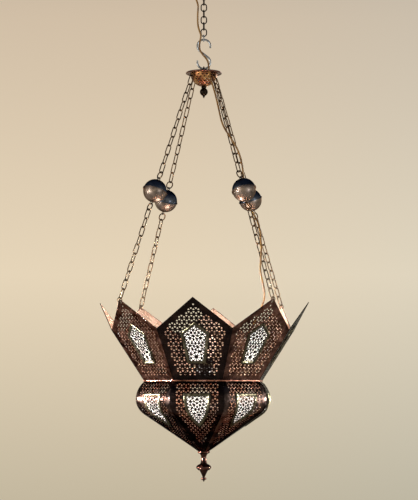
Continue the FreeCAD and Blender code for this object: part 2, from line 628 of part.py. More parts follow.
# ---------------------------------------------------------------- crown
HALF_TAN = "tan(22.5 deg)"
SLANT = "sqrt((sizes.crown_reach - sizes.neck_apothem)^2 + sizes.crown_rise^2)"
VALLEY_SLANT = f"({SLANT} * sizes.valley_rise / sizes.crown_rise)"
LEAN_SINE = f"((sizes.crown_reach - sizes.neck_apothem) / {SLANT})"


def panel_place(side, lift):
    """Where a flat panel's own XY plane goes: X across, Y up the slope, Z outwards by the lift."""
    tilt = Placement(Vector(0, -sizes.neck_apothem, NECK),
                     Rotation(Vector(1, 0, 0), 90 + math.degrees(CROWN_LEAN)))
    return side_turn(side).multiply(tilt).multiply(Placement(Vector(0, 0, lift), Rotation()))


def half_width_text(slant_text):
    """Half the width of a crown panel at a distance up its slope, as a sheet expression."""
    return f"((sizes.neck_apothem + {LEAN_SINE} * {slant_text}) * {HALF_TAN} - sizes.seam_gap)"


def window_corners(inset):
    """The five corners of the crown window, moved in by a number of frame widths."""
    top = f"sizes.window_top - {1.45 * inset} * sizes.window_frame"
    shoulder = f"sizes.window_top - sizes.window_shoulder_drop - {0.42 * inset} * sizes.window_frame"
    foot = f"sizes.window_top - sizes.window_drop + {inset} * sizes.window_frame"
    wide = f"(sizes.window_shoulder_half - {inset} * sizes.window_frame)"
    narrow = f"(sizes.window_foot_half - {0.9 * inset} * sizes.window_frame)"
    return [("0 * sizes.window_top", top), (wide, shoulder), (narrow, foot),
            (f"-1 * {narrow}", foot), (f"-1 * {wide}", shoulder)]


def crown_panel(side):
    """One five-sided sheet with its window cut out, and a ring hole where a chain is hung."""
    name = f"crown_panel_{side + 1}"
    body = doc.addObject("PartDesign::Body", name)
    low = "(sizes.bead_dia / 2 + sizes.bead_gap)"
    outline = new_sketch(body, f"crown_outline_{side}", "XY_Plane")
    add_outline(outline, [(f"-1 * {half_width_text(low)}", low), (half_width_text(low), low),
                          (half_width_text(VALLEY_SLANT), VALLEY_SLANT),
                          ("0 * sizes.sheet", SLANT),
                          (f"-1 * {half_width_text(VALLEY_SLANT)}", VALLEY_SLANT)])
    pad(body, f"crown_sheet_{side}", outline, "sizes.sheet")
    opening = new_sketch(body, f"crown_opening_{side}", "XY_Plane")
    add_outline(opening, window_corners(1))
    if side in HUNG_SIDES:
        add_circle(opening, "0 * sizes.sheet", f"{SLANT} - sizes.tip_hole_inset", "sizes.tip_hole_dia")
    pocket(body, f"crown_cut_{side}", opening)
    body.Placement = panel_place(side, 0)
    keep(body, name)


def window_frame_master():
    """The raised frame round a crown window, lying flat."""
    body = doc.addObject("PartDesign::Body", "window_frame_master")
    outline = new_sketch(body, "frame_outline", "XY_Plane")
    add_outline(outline, window_corners(0))
    pad(body, "frame_pad", outline, "sizes.window_thick")
    opening = new_sketch(body, "frame_opening", "XY_Plane")
    add_outline(opening, window_corners(1))
    pocket(body, "frame_cut", opening)
    return body


def diffuser_master():
    """The opal pane behind a crown window, lying flat."""
    body = doc.addObject("PartDesign::Body", "diffuser_master")
    outline = new_sketch(body, "pane_outline", "XY_Plane")
    add_outline(outline, window_corners(0.3))
    pad(body, "pane_pad", outline, "sizes.diffuser_thick")
    return body


# ---------------------------------------------------------------- neck and bowl
def octagon(apothem, height):
    """Corner points of the octagon whose sides face the panels."""
    radius = apothem / math.cos(HALF_STEP)
    corners = [math.radians(STEP * (k + 0.5)) for k in range(SIDES + 1)]
    return [Vector(radius * math.cos(angle), radius * math.sin(angle), height) for angle in corners]


def bead(dia):
    """A round bead along the neck's octagon with mitred corners."""
    corners = octagon(sizes.neck_apothem, NECK)
    start, following = corners[:2]
    middle = (start + following) * 0.5
    path = Part.makePolygon([middle] + corners[1:] + [middle])
    section = Part.Wire(Part.makeCircle(dia / 2, middle, following - start))
    return path.makePipeShell([section], True, False, 1)


def bowl_profile(inset):
    """The bowl's outline along a panel's middle, moved outwards by the inset, as edges from neck to toe."""
    flat = math.cos(HALF_STEP)

    def spot(radius, depth):
        return Vector(radius * flat, 0, NECK - depth)

    def from_bulge(bend, turn):
        """The point a turn along a bend that starts upright at the bulge."""
        return Vector(bulge.x - bend * (1 - math.cos(turn)), 0, bulge.z + bend * math.sin(turn))

    neck, bulge = spot(BOWL_NECK_RADIUS, 0), spot(BULGE_RADIUS, sizes.bulge_depth)
    hip, toe = spot(HIP_RADIUS, sizes.hip_depth), spot(sizes.toe_radius, sizes.toe_depth)
    shoulder = from_bulge(sizes.shoulder_bend, math.radians(sizes.shoulder_turn))
    waist = from_bulge(sizes.hip_bend, -math.radians(sizes.hip_turn))
    edges = [Part.Arc(neck, shoulder, bulge).toShape(), Part.Arc(bulge, waist, hip).toShape(),
             Part.LineSegment(hip, toe).toShape()]
    wire = Part.Wire(edges)
    if inset == 0:
        return wire
    moved = wire.makeOffset2D(abs(inset), 2, False, True)
    if (moved.BoundBox.XMax > wire.BoundBox.XMax) != (inset > 0):
        moved = wire.makeOffset2D(-abs(inset), 2, False, True)
    return moved


def skin(inner, outer):
    """A gore of sheet between two offsets of the outline, mitred to its neighbours, facing -Y."""
    near, far = bowl_profile(inner), bowl_profile(outer)
    ends = [Part.LineSegment(a.Point, b.Point).toShape()
            for a, b in ((near.OrderedVertexes[0], far.OrderedVertexes[0]),
                         (near.OrderedVertexes[-1], far.OrderedVertexes[-1]))]
    face = Part.Face(Part.Wire(Part.__sortEdges__(near.Edges + far.Edges + ends)))
    width = 2 * BULGE_RADIUS
    slab = face.extrude(Vector(0, width, 0))
    slab.translate(Vector(0, -width / 2, 0))
    slab.rotate(Vector(0, 0, 0), Vector(0, 0, 1), -90)
    reach = 2 * BULGE_RADIUS
    across = reach * math.tan(HALF_STEP) - sizes.seam_gap
    wedge = Part.makePolygon([Vector(0, 0, 0), Vector(across, -reach, 0), Vector(-across, -reach, 0),
                              Vector(0, 0, 0)])
    prism = Part.Face(wedge).extrude(Vector(0, 0, -2 * sizes.toe_depth))
    prism.translate(Vector(0, 0, NECK + sizes.toe_depth / 2))
    return slab.common(prism)


def shield(inset):
    """The prism through the bowl window's outline, moved in by the inset, pointing down."""
    top, foot = NECK - sizes.bowl_window_top - inset, NECK - sizes.bowl_window_foot + 2.2 * inset
    half = sizes.bowl_window_half - inset
    middle = (top * 0.55 + foot * 0.45)
    reach = -2 * BULGE_RADIUS
    corner_right, corner_left = Vector(half, reach, top), Vector(-half, reach, top)
    point = Vector(0, reach, foot)
    edges = [Part.LineSegment(corner_left, corner_right).toShape(),
             Part.Arc(corner_right, Vector(half * 0.8, reach, middle), point).toShape(),
             Part.Arc(point, Vector(-half * 0.8, reach, middle), corner_left).toShape()]
    return Part.Face(Part.Wire(edges)).extrude(Vector(0, -reach, 0))


def bowl():
    """Eight gores with their windows cut out, the frames on them and the panes behind them."""
    clear_bead = bead(sizes.bead_dia + 2 * sizes.bead_gap)
    gore = skin(0, sizes.sheet).cut(clear_bead).cut(shield(sizes.bowl_frame))
    lift = sizes.sheet + sizes.fit_gap
    frame = skin(lift, lift + sizes.window_thick).common(shield(0)).cut(shield(sizes.bowl_frame))
    pane = skin(-sizes.fit_gap - sizes.diffuser_thick, -sizes.fit_gap)
    pane = pane.common(shield(sizes.bowl_frame - sizes.diffuser_lap))
    for side in range(SIDES):
        feature(f"bowl_panel_{side + 1}", gore, side_turn(side))
    around = [side_turn(side) for side in range(SIDES)]
    feature("bowl_windows", copies(frame, around))
    feature("bowl_diffusers", copies(pane, around))


# ---------------------------------------------------------------- bottom finial
def finial():
    """Turned drop under the bowl, with a stud through its toe, and the washer and nut inside."""
    collar_top = NECK - sizes.toe_depth - sizes.finial_seat
    parts = []
    level = collar_top

    def section(name, kind, bindings, height_text):
        """One turned section, stacked below the last."""
        nonlocal level
        level -= float(sizes.evalExpression(height_text))
        bindings["Height"] = height_text + " + sizes.section_lap"
        parts.append(primitive(kind, name, bindings, Placement(Vector(0, 0, level), Rotation())))

    section("finial_collar", "Cone", {"Radius1": "sizes.finial_waist_dia / 2 + sizes.collar_flare",
                                      "Radius2": "sizes.finial_collar_dia / 2"}, "sizes.finial_collar_thick")
    section("finial_waist", "Cone", {"Radius1": "sizes.finial_waist_dia / 2 + sizes.waist_flare",
                                     "Radius2": "sizes.finial_waist_dia / 2"}, "sizes.finial_waist_length")
    section("finial_disc", "Cylinder", {"Radius": "sizes.finial_disc_dia / 2"}, "sizes.finial_disc_thick")
    section("finial_cone", "Cone", {"Radius1": "sizes.finial_cone_end_dia / 2",
                                    "Radius2": "sizes.finial_cone_dia / 2"}, "sizes.finial_cone_length")
    section("finial_button", "Cylinder", {"Radius": "sizes.finial_button_dia / 2"},
            "sizes.finial_button_thick")
    section("finial_tip", "Cone", {"Radius1": "sizes.finial_point_dia / 2",
                                   "Radius2": "sizes.finial_cone_end_dia / 2"}, "sizes.finial_tip_length")
    stud = primitive("Cylinder", "finial_stud", {"Radius": "sizes.finial_stud_dia / 2",
                                                 "Height": "sizes.finial_stud_length + sizes.stud_root"},
                     Placement(Vector(0, 0, collar_top - sizes.stud_root), Rotation()))
    keep(join("bottom_finial_solid", parts + [stud]), "bottom_finial")
    seat = collar_top + sizes.washer_seat
    bore = sizes.finial_stud_dia + 2 * sizes.fit_gap
    washer = Part.makeCylinder(sizes.washer_dia / 2, sizes.washer_thick, Vector(0, 0, seat))
    feature("finial_washer", bored(washer, bore, Vector(0, 0, seat), sizes.washer_thick))
    nut_base = Vector(0, 0, seat + sizes.washer_thick + sizes.fit_gap)
    nut = hex_prism(sizes.nut_across, sizes.nut_height, nut_base)
    feature("finial_nut", bored(nut, bore, nut_base, sizes.nut_height))


# ---------------------------------------------------------------- lamp
def lamp():
    """Bar across the neck, lamp holder with its ring and cord grip, and the bulb."""
    span = 2 * (sizes.neck_apothem - sizes.bead_dia / 2 - sizes.fit_gap)
    bar = Part.makeBox(span, sizes.bar_width, sizes.bar_thick,
                       Vector(-span / 2, -sizes.bar_width / 2, NECK - sizes.bar_thick / 2))
    feature("lamp_bar", bar)
    base = NECK + sizes.bar_thick / 2 + sizes.fit_gap
    holder_top = base + sizes.holder_height
    shell = Part.makeCylinder(sizes.holder_dia / 2, sizes.holder_height, Vector(0, 0, base))
    socket_depth = sizes.cap_height + sizes.cap_room
    feature("lamp_holder", bored(shell, sizes.cap_dia + 2 * sizes.cap_clearance,
                                 Vector(0, 0, holder_top - socket_depth), socket_depth))
    ring_foot = Vector(0, 0, holder_top - 2 * sizes.collar_height)
    ring = Part.makeCylinder(sizes.holder_dia / 2 + sizes.collar_width, sizes.collar_height, ring_foot)
    feature("holder_ring", bored(ring, sizes.holder_dia + 2 * sizes.fit_gap, ring_foot, sizes.collar_height))
    outward = Vector(1, -1, 0).normalize()
    start = outward * (sizes.holder_dia / 2 - sizes.grip_root) + Vector(0, 0, base + sizes.grip_level)
    grip = Part.makeCone(sizes.grip_dia / 2, sizes.cord_dia / 2 + sizes.grip_end_wall, sizes.grip_length,
                         start, outward)
    holder = Part.makeCylinder(sizes.holder_dia / 2 + sizes.fit_gap, sizes.holder_height, Vector(0, 0, base))
    feature("cord_grip", grip.cut(holder))
    cap = Part.makeCylinder(sizes.cap_dia / 2, sizes.cap_height, Vector(0, 0, holder_top - sizes.cap_height))
    feature("bulb_cap", cap)
    neck = holder_top + sizes.fit_gap
    centre = neck + sizes.bulb_rise - sizes.bulb_dia / 2

    def bulb(wall):
        ball = Part.makeSphere(sizes.bulb_dia / 2 - wall, Vector(0, 0, centre))
        throat = Part.makeCone(sizes.bulb_neck_dia / 2 - wall, sizes.bulb_shoulder_dia / 2 - wall,
                               centre - neck - sizes.bulb_throat_drop - wall, Vector(0, 0, neck + wall))
        return ball.fuse(throat)

    feature("bulb_glass", bulb(0).cut(bulb(sizes.glass_thick)))


# ---------------------------------------------------------------- assembly
ceiling_plate()
ceiling_rose()
ceiling_hook()
hook_nut()
terminal_block()
cord_bush()
ceiling_chain()
chain_end_link()
s_hook()
canopy_plate()
canopy_dome()
canopy_eye()
canopy_finial()
hanger_eyes()
lantern_chains()
tip_rings()
for side in range(SIDES):
    crown_panel(side)
frame_master = window_frame_master()
pane_master = diffuser_master()
doc.recompute()
feature("crown_windows", copies(frame_master.Shape, [panel_place(side, sizes.sheet + sizes.fit_gap)
                                                     for side in range(SIDES)]))
feature("crown_diffusers",
        copies(pane_master.Shape, [panel_place(side, -sizes.fit_gap - sizes.diffuser_thick)
                                   for side in range(SIDES)]))
feature("neck_ring", bead(sizes.bead_dia))
bowl()
finial()
lamp()
cord_tube("cord_ceiling", CORD_CEILING)
cord_tube("cord_hook", CORD_HOOK)
cord_tube("cord_canopy", CORD_CANOPY)
cord_tube("cord_lantern", CORD_LANTERN)
doc.recompute()

# ---------------------------------------------------------------- check and write
for thing in doc.Objects:
    if "Invalid" in thing.State or "Error" in thing.State:
        raise RuntimeError(f"{thing.Label} failed: {thing.State}")
for thing in subparts:
    if thing.Shape.isNull() or not thing.Shape.isValid():
        raise RuntimeError(f"{thing.Label} has no valid shape")

os.makedirs("parts", exist_ok=True)
for thing in subparts:
    thing.Shape.exportStep(f"parts/{thing.Label}.step")
print(f"{len(subparts)} sub-parts written")
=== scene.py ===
"""Looks for the pierced copper lantern: pierced sheets, window lattices, chains, flex and materials.

Metres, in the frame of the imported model: +Z up, the ceiling face at Z = 0, one crown panel facing -Y.
"""

import math

import bpy
from mathutils import Matrix, Vector
from mathutils.geometry import delaunay_2d_cdt

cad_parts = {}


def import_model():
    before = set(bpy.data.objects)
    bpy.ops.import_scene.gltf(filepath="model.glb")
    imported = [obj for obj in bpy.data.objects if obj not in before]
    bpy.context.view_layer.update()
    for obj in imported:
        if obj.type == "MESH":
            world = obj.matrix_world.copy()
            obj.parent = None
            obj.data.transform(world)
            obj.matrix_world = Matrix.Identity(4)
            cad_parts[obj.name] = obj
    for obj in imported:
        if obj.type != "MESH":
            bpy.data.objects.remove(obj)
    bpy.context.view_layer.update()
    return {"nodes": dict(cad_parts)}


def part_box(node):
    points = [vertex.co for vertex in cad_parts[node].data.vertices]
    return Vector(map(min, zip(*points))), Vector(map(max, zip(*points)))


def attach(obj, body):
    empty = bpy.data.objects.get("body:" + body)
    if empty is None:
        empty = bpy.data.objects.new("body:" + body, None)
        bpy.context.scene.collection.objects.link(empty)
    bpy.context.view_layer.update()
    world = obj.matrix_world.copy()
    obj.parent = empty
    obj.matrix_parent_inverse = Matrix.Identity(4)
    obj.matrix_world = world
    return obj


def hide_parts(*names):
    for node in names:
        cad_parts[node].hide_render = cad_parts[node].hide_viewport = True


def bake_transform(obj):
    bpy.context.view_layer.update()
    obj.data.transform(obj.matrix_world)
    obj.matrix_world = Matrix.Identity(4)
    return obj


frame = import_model()

MM = 0.001
SIDES = 8
STEP = math.tau / SIDES
HALF = STEP / 2
TAN_HALF = math.tan(HALF)
LAMP = "lantern"                    # the body that the crown, the bowl and the canopy belong to
HUNG = (2, 4, 6, 8)                 # the crown panels whose points carry a chain


def box(node):
    """Lowest and highest corners of a CAD node, as vectors."""
    low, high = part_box(node)
    return Vector(low), Vector(high)


def added(name, data):
    """A new object in the scene."""
    thing = bpy.data.objects.new(name, data)
    bpy.context.scene.collection.objects.link(thing)
    return thing


# ---------------- sizes read from the frame, with the sheet and the lifts of the CAD model
NECK_LOW, NECK_HIGH = box("neck_ring")
BEAD = (NECK_HIGH.z - NECK_LOW.z) / 2
NECK_Z = (NECK_HIGH.z + NECK_LOW.z) / 2
NECK_APOTHEM = NECK_HIGH.x - BEAD
FRONT_LOW, FRONT_HIGH = box("crown_panel_1")
SHEET = 1.0 * MM
TIP_SHARE = 0.85                    # of the sheet's thickness, what the leaning tip adds to the crown's reach
CROWN_RISE = FRONT_HIGH.z - NECK_Z
CROWN_REACH = -FRONT_LOW.y - TIP_SHARE * SHEET
CROWN_SLANT = math.hypot(CROWN_REACH - NECK_APOTHEM, CROWN_RISE)
LEAN = math.atan2(CROWN_REACH - NECK_APOTHEM, CROWN_RISE)
VALLEY = (FRONT_HIGH.x / TAN_HALF - NECK_APOTHEM) / math.sin(LEAN)
WINDOW_LIFT = SHEET + 0.1 * MM
WINDOW_THICK = 1.4 * MM
WINDOW_LOW, WINDOW_HIGH = box("crown_windows")
WINDOW_TOP = (WINDOW_HIGH.z - NECK_Z + WINDOW_LIFT * math.sin(LEAN)) / math.cos(LEAN)
WINDOW_FOOT = (WINDOW_LOW.z - NECK_Z + (WINDOW_LIFT + WINDOW_THICK) * math.sin(LEAN)) / math.cos(LEAN)
BOWL_LOW, _ = box("bowl_panel_1")
SHIELD_LOW, SHIELD_HIGH = box("bowl_windows")

# ---------------- sizes of the finer work
JOINT_GAP = 0.1 * MM                # from a sheet's edge to the corner line or the neck's bead beside it
WINDOW_SHOULDER = WINDOW_TOP - 30 * MM
WINDOW_WIDE, WINDOW_NARROW = 33 * MM, 20.5 * MM     # half widths at the shoulder and the foot
CROWN_FRAME, CROWN_FRAME_HIGH = 6 * MM, 2.0 * MM
SHIELD_WIDE = 31 * MM               # half the bowl window's width at its top
BOWL_FRAME, BOWL_FRAME_HIGH = 6.4 * MM, 2.3 * MM
MOULDING_STEP = 4 * MM
CROWN_BORDER, CROWN_PITCH, CROWN_STRUT = 11 * MM, 11.2 * MM, 3.1 * MM
BOWL_BORDER, BOWL_PITCH, BOWL_STRUT = 10 * MM, 10.4 * MM, 2.8 * MM
HOLE_MARGIN = 1.8 * MM              # least distance from a hole's middle to the border or the window
CROWN_SITES, CROWN_LATTICE_STRUT = 8.0 * MM, 2.0 * MM
BOWL_SITES, BOWL_LATTICE_STRUT = 7.6 * MM, 1.85 * MM
LATTICE_SHEET, LATTICE_RIM, LEAST_CELL = 0.6 * MM, 7.4 * MM, 1.5 * MM * MM
HEM_RADIUS, SEAM_RADIUS = 0.9 * MM, 1.3 * MM
RING_HOLE_DROP, RING_HOLE_RADIUS = 8 * MM, 2.5 * MM
BULGE_DEPTH = 43 * MM
BULGE = (0, 0, NECK_Z - BULGE_DEPTH)
GORE_EDGE, GORE_EDGE_DROP, GORE_EDGE_TILT = 9 * MM, 1.3 * MM, 0.30

# ---------------- the flex's routes, as in the CAD model
CORD_CEILING = [(-22, -8, -33), (-21, -9, -47), (-17, -12, -61), (-12, -13, -75), (-14, -10, -92),
                (-14, -9, -109)]
CORD_HOOK = [(-14, -9, -109), (-14, -8.3, -121), (-10, -11, -136), (-5, -13.5, -149),
             (-8, -12.5, -161), (-9, -12.5, -171)]
CORD_CANOPY = [(-9, -12.5, -171), (-10, -12.5, -181), (-3, -15, -194), (9, -22, -208),
               (15, -30, -222), (16, -33.5, -236)]
CORD_LANTERN = [(16, -33.5, -236), (17, -37, -250), (23, -43, -268), (33, -51, -300), (42, -60, -338),
                (51, -68, -378), (73, -85, -411), (90, -86, -440), (99, -79, -470), (102, -70, -512),
                (103, -69, -552), (118, -95, -578), (131, -112, -600), (142, -124, -624), (147, -144, -656),
                (149, -160, -692), (145, -162, -730), (154, -161, -764), (157, -159, -792),
                (145, -148, -822), (124, -129, -860), (99, -104, -898), (72, -76, -932), (48, -50, -954),
                (35, -35.5, -962), (24, -24, -965.4)]
CORD_DIA = 4.3 * MM


# ---------------- camera, light and stage
def camera():
    """A little below the neck and to the right of the front panel, tipped up to the middle of the picture."""
    distance, azimuth = 4.0, math.radians(5.74)
    below_neck, aim_up, aim_side = 0.0286, 0.3416, 0.0125
    data = bpy.data.cameras.new("camera")
    data.lens = 120.5
    eye = added("camera", data)
    right = Vector((math.cos(azimuth), math.sin(azimuth), 0))
    eye.location = Vector((math.sin(azimuth) * distance, -math.cos(azimuth) * distance, NECK_Z - below_neck))
    target = Vector((0, 0, eye.location.z + aim_up)) + right * aim_side
    eye.rotation_euler = (target - eye.location).to_track_quat("-Z", "Y").to_euler()
    bpy.context.scene.camera = eye


def softbox(name, place, size, power, colour, target=(0, 0, -0.8), spread=180):
    """An area light that looks at the lantern, with its beam's width in degrees."""
    data = bpy.data.lights.new(name, "AREA")
    data.shape = "RECTANGLE"
    data.size, data.size_y = size
    data.energy = power
    data.spread = math.radians(spread)
    data.color = colour
    lamp = added(name, data)
    lamp.location = place
    lamp.rotation_euler = (Vector(target) - Vector(place)).to_track_quat("-Z", "Y").to_euler()


def set_stops(node, stops):
    """Give a colour ramp its stops: pairs of position and colour."""
    elements = node.color_ramp.elements
    while len(elements) < len(stops):
        elements.new(0.5)
    for element, (position, colour) in zip(elements, stops):
        element.position, element.color = position, (*colour, 1)


def world():
    """Pale warm surroundings, cooler towards the right, under a dim bluish ceiling."""
    studio = bpy.data.worlds.new("studio")
    bpy.context.scene.world = studio
    studio.use_nodes = True
    tree = studio.node_tree
    tree.nodes.clear()
    coord = tree.nodes.new("ShaderNodeTexCoord")
    split = tree.nodes.new("ShaderNodeSeparateXYZ")
    tree.links.new(coord.outputs["Generated"], split.inputs[0])

    def spread(axis, low, high):
        """How far a direction lies between two heights or sides, from 0 to 1."""
        node = tree.nodes.new("ShaderNodeMapRange")
        node.inputs["From Min"].default_value, node.inputs["From Max"].default_value = low, high
        tree.links.new(split.outputs[axis], node.inputs["Value"])
        return node.outputs["Result"]

    rise = tree.nodes.new("ShaderNodeValToRGB")
    tree.links.new(spread("Z", -0.2, 0.8), rise.inputs["Fac"])
    set_stops(rise, [(0.12, (0.52, 0.455, 0.33)), (0.27, (0.79, 0.665, 0.485)), (0.42, (0.64, 0.52, 0.385)),
                     (0.62, (0.20, 0.19, 0.19)), (1.0, (0.05, 0.065, 0.10))])
    tint = tree.nodes.new("ShaderNodeMix")
    tint.data_type, tint.blend_type = "RGBA", "MULTIPLY"
    tint.inputs[7].default_value = (0.90, 0.99, 1.10, 1)
    tree.links.new(spread("X", -0.12, 0.12), tint.inputs[0])
    tree.links.new(rise.outputs["Color"], tint.inputs[6])
    background = tree.nodes.new("ShaderNodeBackground")
    tree.links.new(tint.outputs[2], background.inputs["Color"])
    out = tree.nodes.new("ShaderNodeOutputWorld")
    tree.links.new(background.outputs[0], out.inputs[0])


def stage():
    """A plain pale floor under the lantern."""
    radius, level = 5, -1.95
    bpy.ops.mesh.primitive_circle_add(vertices=96, radius=radius, fill_type="NGON", location=(0, 0, level))
    floor = bpy.context.object
    floor.name = "floor"
    floor.data.materials.append(plain("floor_paint", (0.74, 0.67, 0.56), 0.8, 0.42))


def bulb_light():
    """Light from the bulb, carried by the lantern."""
    low, high = box("bulb_glass")
    data = bpy.data.lights.new("bulb_light", "POINT")
    data.energy = 3.0
    data.shadow_soft_size = (high.z - low.z) / 2
    data.color = (1.0, 0.87, 0.74)
    clear = 4 * MM
    lamp = added("bulb_light", data)
    lamp.location = (0, 0, high.z + clear)
    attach(lamp, LAMP)


# ---------------- materials
class Nodes:
    """A short way to build a material's nodes round one Principled shader."""

    def __init__(self, name):
        self.material = bpy.data.materials.new(name)
        self.material.use_nodes = True
        self.tree = self.material.node_tree
        self.shader = self.tree.nodes["Principled BSDF"]
        coord = self.tree.nodes.new("ShaderNodeTexCoord")
        self.place = coord.outputs["Object"]

    def put(self, socket, value):
        """Set a shader socket to a constant or link it to an output."""
        target = self.shader.inputs[socket]
        if isinstance(value, bpy.types.NodeSocket):
            self.tree.links.new(value, target)
        else:
            target.default_value = value

    def outwardness(self):
        """Above 0 where the surface faces away from the lantern's upright axis, below 0 where it faces in."""
        facing = self.tree.nodes.new("ShaderNodeNewGeometry")
        flat = self.tree.nodes.new("ShaderNodeVectorMath")
        flat.operation = "MULTIPLY"
        flat.inputs[1].default_value = (1, 1, 0)
        product = self.tree.nodes.new("ShaderNodeVectorMath")
        product.operation = "DOT_PRODUCT"
        unit = self.tree.nodes.new("ShaderNodeVectorMath")
        unit.operation = "NORMALIZE"
        self.tree.links.new(self.place, flat.inputs[0])
        self.tree.links.new(flat.outputs[0], unit.inputs[0])
        self.tree.links.new(unit.outputs[0], product.inputs[0])
        self.tree.links.new(facing.outputs["True Normal"], product.inputs[1])
        return product.outputs["Value"]

    def noise(self, scale, detail=3.0, rough=0.55, distort=0.0):
        """Noise in the object's space."""
        node = self.tree.nodes.new("ShaderNodeTexNoise")
        node.inputs["Scale"].default_value = scale
        node.inputs["Detail"].default_value = detail
        node.inputs["Roughness"].default_value = rough
        node.inputs["Distortion"].default_value = distort
        self.tree.links.new(self.place, node.inputs["Vector"])
        return node.outputs["Fac"]

    def cells(self, scale):
        """Distance to the nearest of scattered points, for hammer marks."""
        node = self.tree.nodes.new("ShaderNodeTexVoronoi")
        node.inputs["Scale"].default_value = scale
        node.feature = "SMOOTH_F1"
        self.tree.links.new(self.place, node.inputs["Vector"])
        return node.outputs["Distance"]

    def ramp(self, value, stops):
        """Colour stops along a value: pairs of position and colour."""
        node = self.tree.nodes.new("ShaderNodeValToRGB")
        set_stops(node, stops)
        self.tree.links.new(value, node.inputs["Fac"])
        return node.outputs["Color"]

    def span(self, value, low, high, start=0.3, end=0.7):
        """A value stretched to run between two numbers."""
        node = self.tree.nodes.new("ShaderNodeMapRange")
        for socket, number in (("From Min", start), ("From Max", end), ("To Min", low), ("To Max", high)):
            node.inputs[socket].default_value = number
        self.tree.links.new(value, node.inputs["Value"])
        return node.outputs["Result"]

    def mix(self, factor, first, second):
        """Two colours, as constants or outputs, mixed by a factor from an output."""
        node = self.tree.nodes.new("ShaderNodeMix")
        node.data_type = "RGBA"
        self.tree.links.new(factor, node.inputs[0])
        for index, value in ((6, first), (7, second)):
            if isinstance(value, bpy.types.NodeSocket):
                self.tree.links.new(value, node.inputs[index])
            else:
                node.inputs[index].default_value = (*value, 1)
        return node.outputs[2]

    def bump(self, height, depth, strength, below=None):
        """Bump from a height, on top of another bump when one is given."""
        node = self.tree.nodes.new("ShaderNodeBump")
        node.inputs["Strength"].default_value = strength
        node.inputs["Distance"].default_value = depth
        self.tree.links.new(height, node.inputs["Height"])
        if below is not None:
            self.tree.links.new(below, node.inputs["Normal"])
        return node.outputs["Normal"]


def plain(name, colour, rough, lift):
    """Matt paint with faint mottling, for the stage, lifted by a light of its own."""
    nodes = Nodes(name)
    faint = tuple(channel * 0.94 for channel in colour)
    tone = nodes.ramp(nodes.noise(3.0), [(0.35, faint), (0.65, colour)])
    nodes.put("Base Color", tone)
    nodes.put("Emission Color", tone)
    nodes.put("Emission Strength", lift)
    nodes.put("Roughness", rough)
    return nodes.material


def patina(name, dark, middle, light, rough, scale=28.0, depth=0.15 * MM, metal=1.0, rough_span=0.14):
    """Worn, oxidised metal: blotches of three tones, uneven gloss and fine dents."""
    nodes = Nodes(name)
    blotch = nodes.noise(scale, detail=6.0, rough=0.62, distort=0.6)
    tone = nodes.ramp(blotch, [(0.34, dark), (0.52, middle), (0.70, light)])
    speck = nodes.noise(scale * 14, detail=2.0)
    tone = nodes.mix(nodes.span(speck, 0.0, 0.35, 0.45, 0.75), tone, dark)
    nodes.put("Base Color", tone)
    nodes.put("Metallic", metal)
    nodes.put("Specular Tint", (*middle, 1))
    cloud = nodes.noise(scale * 3.1, detail=4.0)
    nodes.put("Roughness", nodes.span(cloud, rough - rough_span, rough + rough_span))
    dents = nodes.bump(nodes.noise(scale * 2.2, detail=2.0), depth, 0.5)
    nodes.put("Normal", nodes.bump(speck, depth * 0.25, 0.4, dents))
    return nodes.material


def hammered(name, dark, middle, light, rough):
    """Planished metal with round hammer marks."""
    nodes = Nodes(name)
    marks = nodes.cells(190.0)
    blotch = nodes.noise(70.0, detail=5.0)
    nodes.put("Base Color", nodes.ramp(blotch, [(0.30, dark), (0.50, middle), (0.68, light)]))
    nodes.put("Metallic", 1.0)
    nodes.put("Roughness", nodes.span(nodes.noise(160.0), rough - 0.1, rough + 0.14))
    nodes.put("Normal", nodes.bump(marks, 0.5 * MM, 0.6))
    return nodes.material


def glow(name, colour, strength, outward_only=False):
    """Lit glass with soft clouds.  With outward_only, the face towards the bulb stays dim."""
    nodes = Nodes(name)
    cloud = nodes.noise(22.0, detail=2.0)
    shade = tuple(channel * 0.82 for channel in colour)
    tone = nodes.ramp(cloud, [(0.3, shade), (0.6, colour)])
    nodes.put("Roughness", 0.35)
    nodes.put("Emission Color", tone)
    if outward_only:
        side = nodes.span(nodes.outwardness(), 0.0, 1.0, 0.0, 0.2)
        nodes.put("Base Color", nodes.mix(side, (0.34, 0.22, 0.16), tone))
        nodes.put("Emission Strength", nodes.span(side, 0.0, strength, 0.0, 1.0))
    else:
        nodes.put("Base Color", tone)
        nodes.put("Emission Strength", strength)
    return nodes.material


def flex_plastic(name):
    """Twisted golden insulation with grime and a fine grain."""
    nodes = Nodes(name)
    grime = nodes.noise(55.0, detail=4.0)
    nodes.put("Base Color", nodes.ramp(grime, [(0.30, (0.10, 0.042, 0.008)), (0.5, (0.24, 0.115, 0.022)),
                                               (0.72, (0.40, 0.22, 0.055))]))
    nodes.put("Roughness", nodes.span(nodes.noise(240.0), 0.28, 0.5))
    nodes.put("Coat Weight", 0.3)
    nodes.put("Normal", nodes.bump(nodes.noise(900.0, detail=1.0), 0.1 * MM, 0.4))
    return nodes.material


def moulded(name, dark, light):
    """Black moulded plastic with fine grain."""
    nodes = Nodes(name)
    nodes.put("Base Color", nodes.ramp(nodes.noise(90.0), [(0.35, dark), (0.65, light)]))
    nodes.put("Roughness", nodes.span(nodes.noise(300.0), 0.38, 0.58))
    nodes.put("Normal", nodes.bump(nodes.noise(1800.0, detail=1.0), 0.05 * MM, 0.5))
    return nodes.material
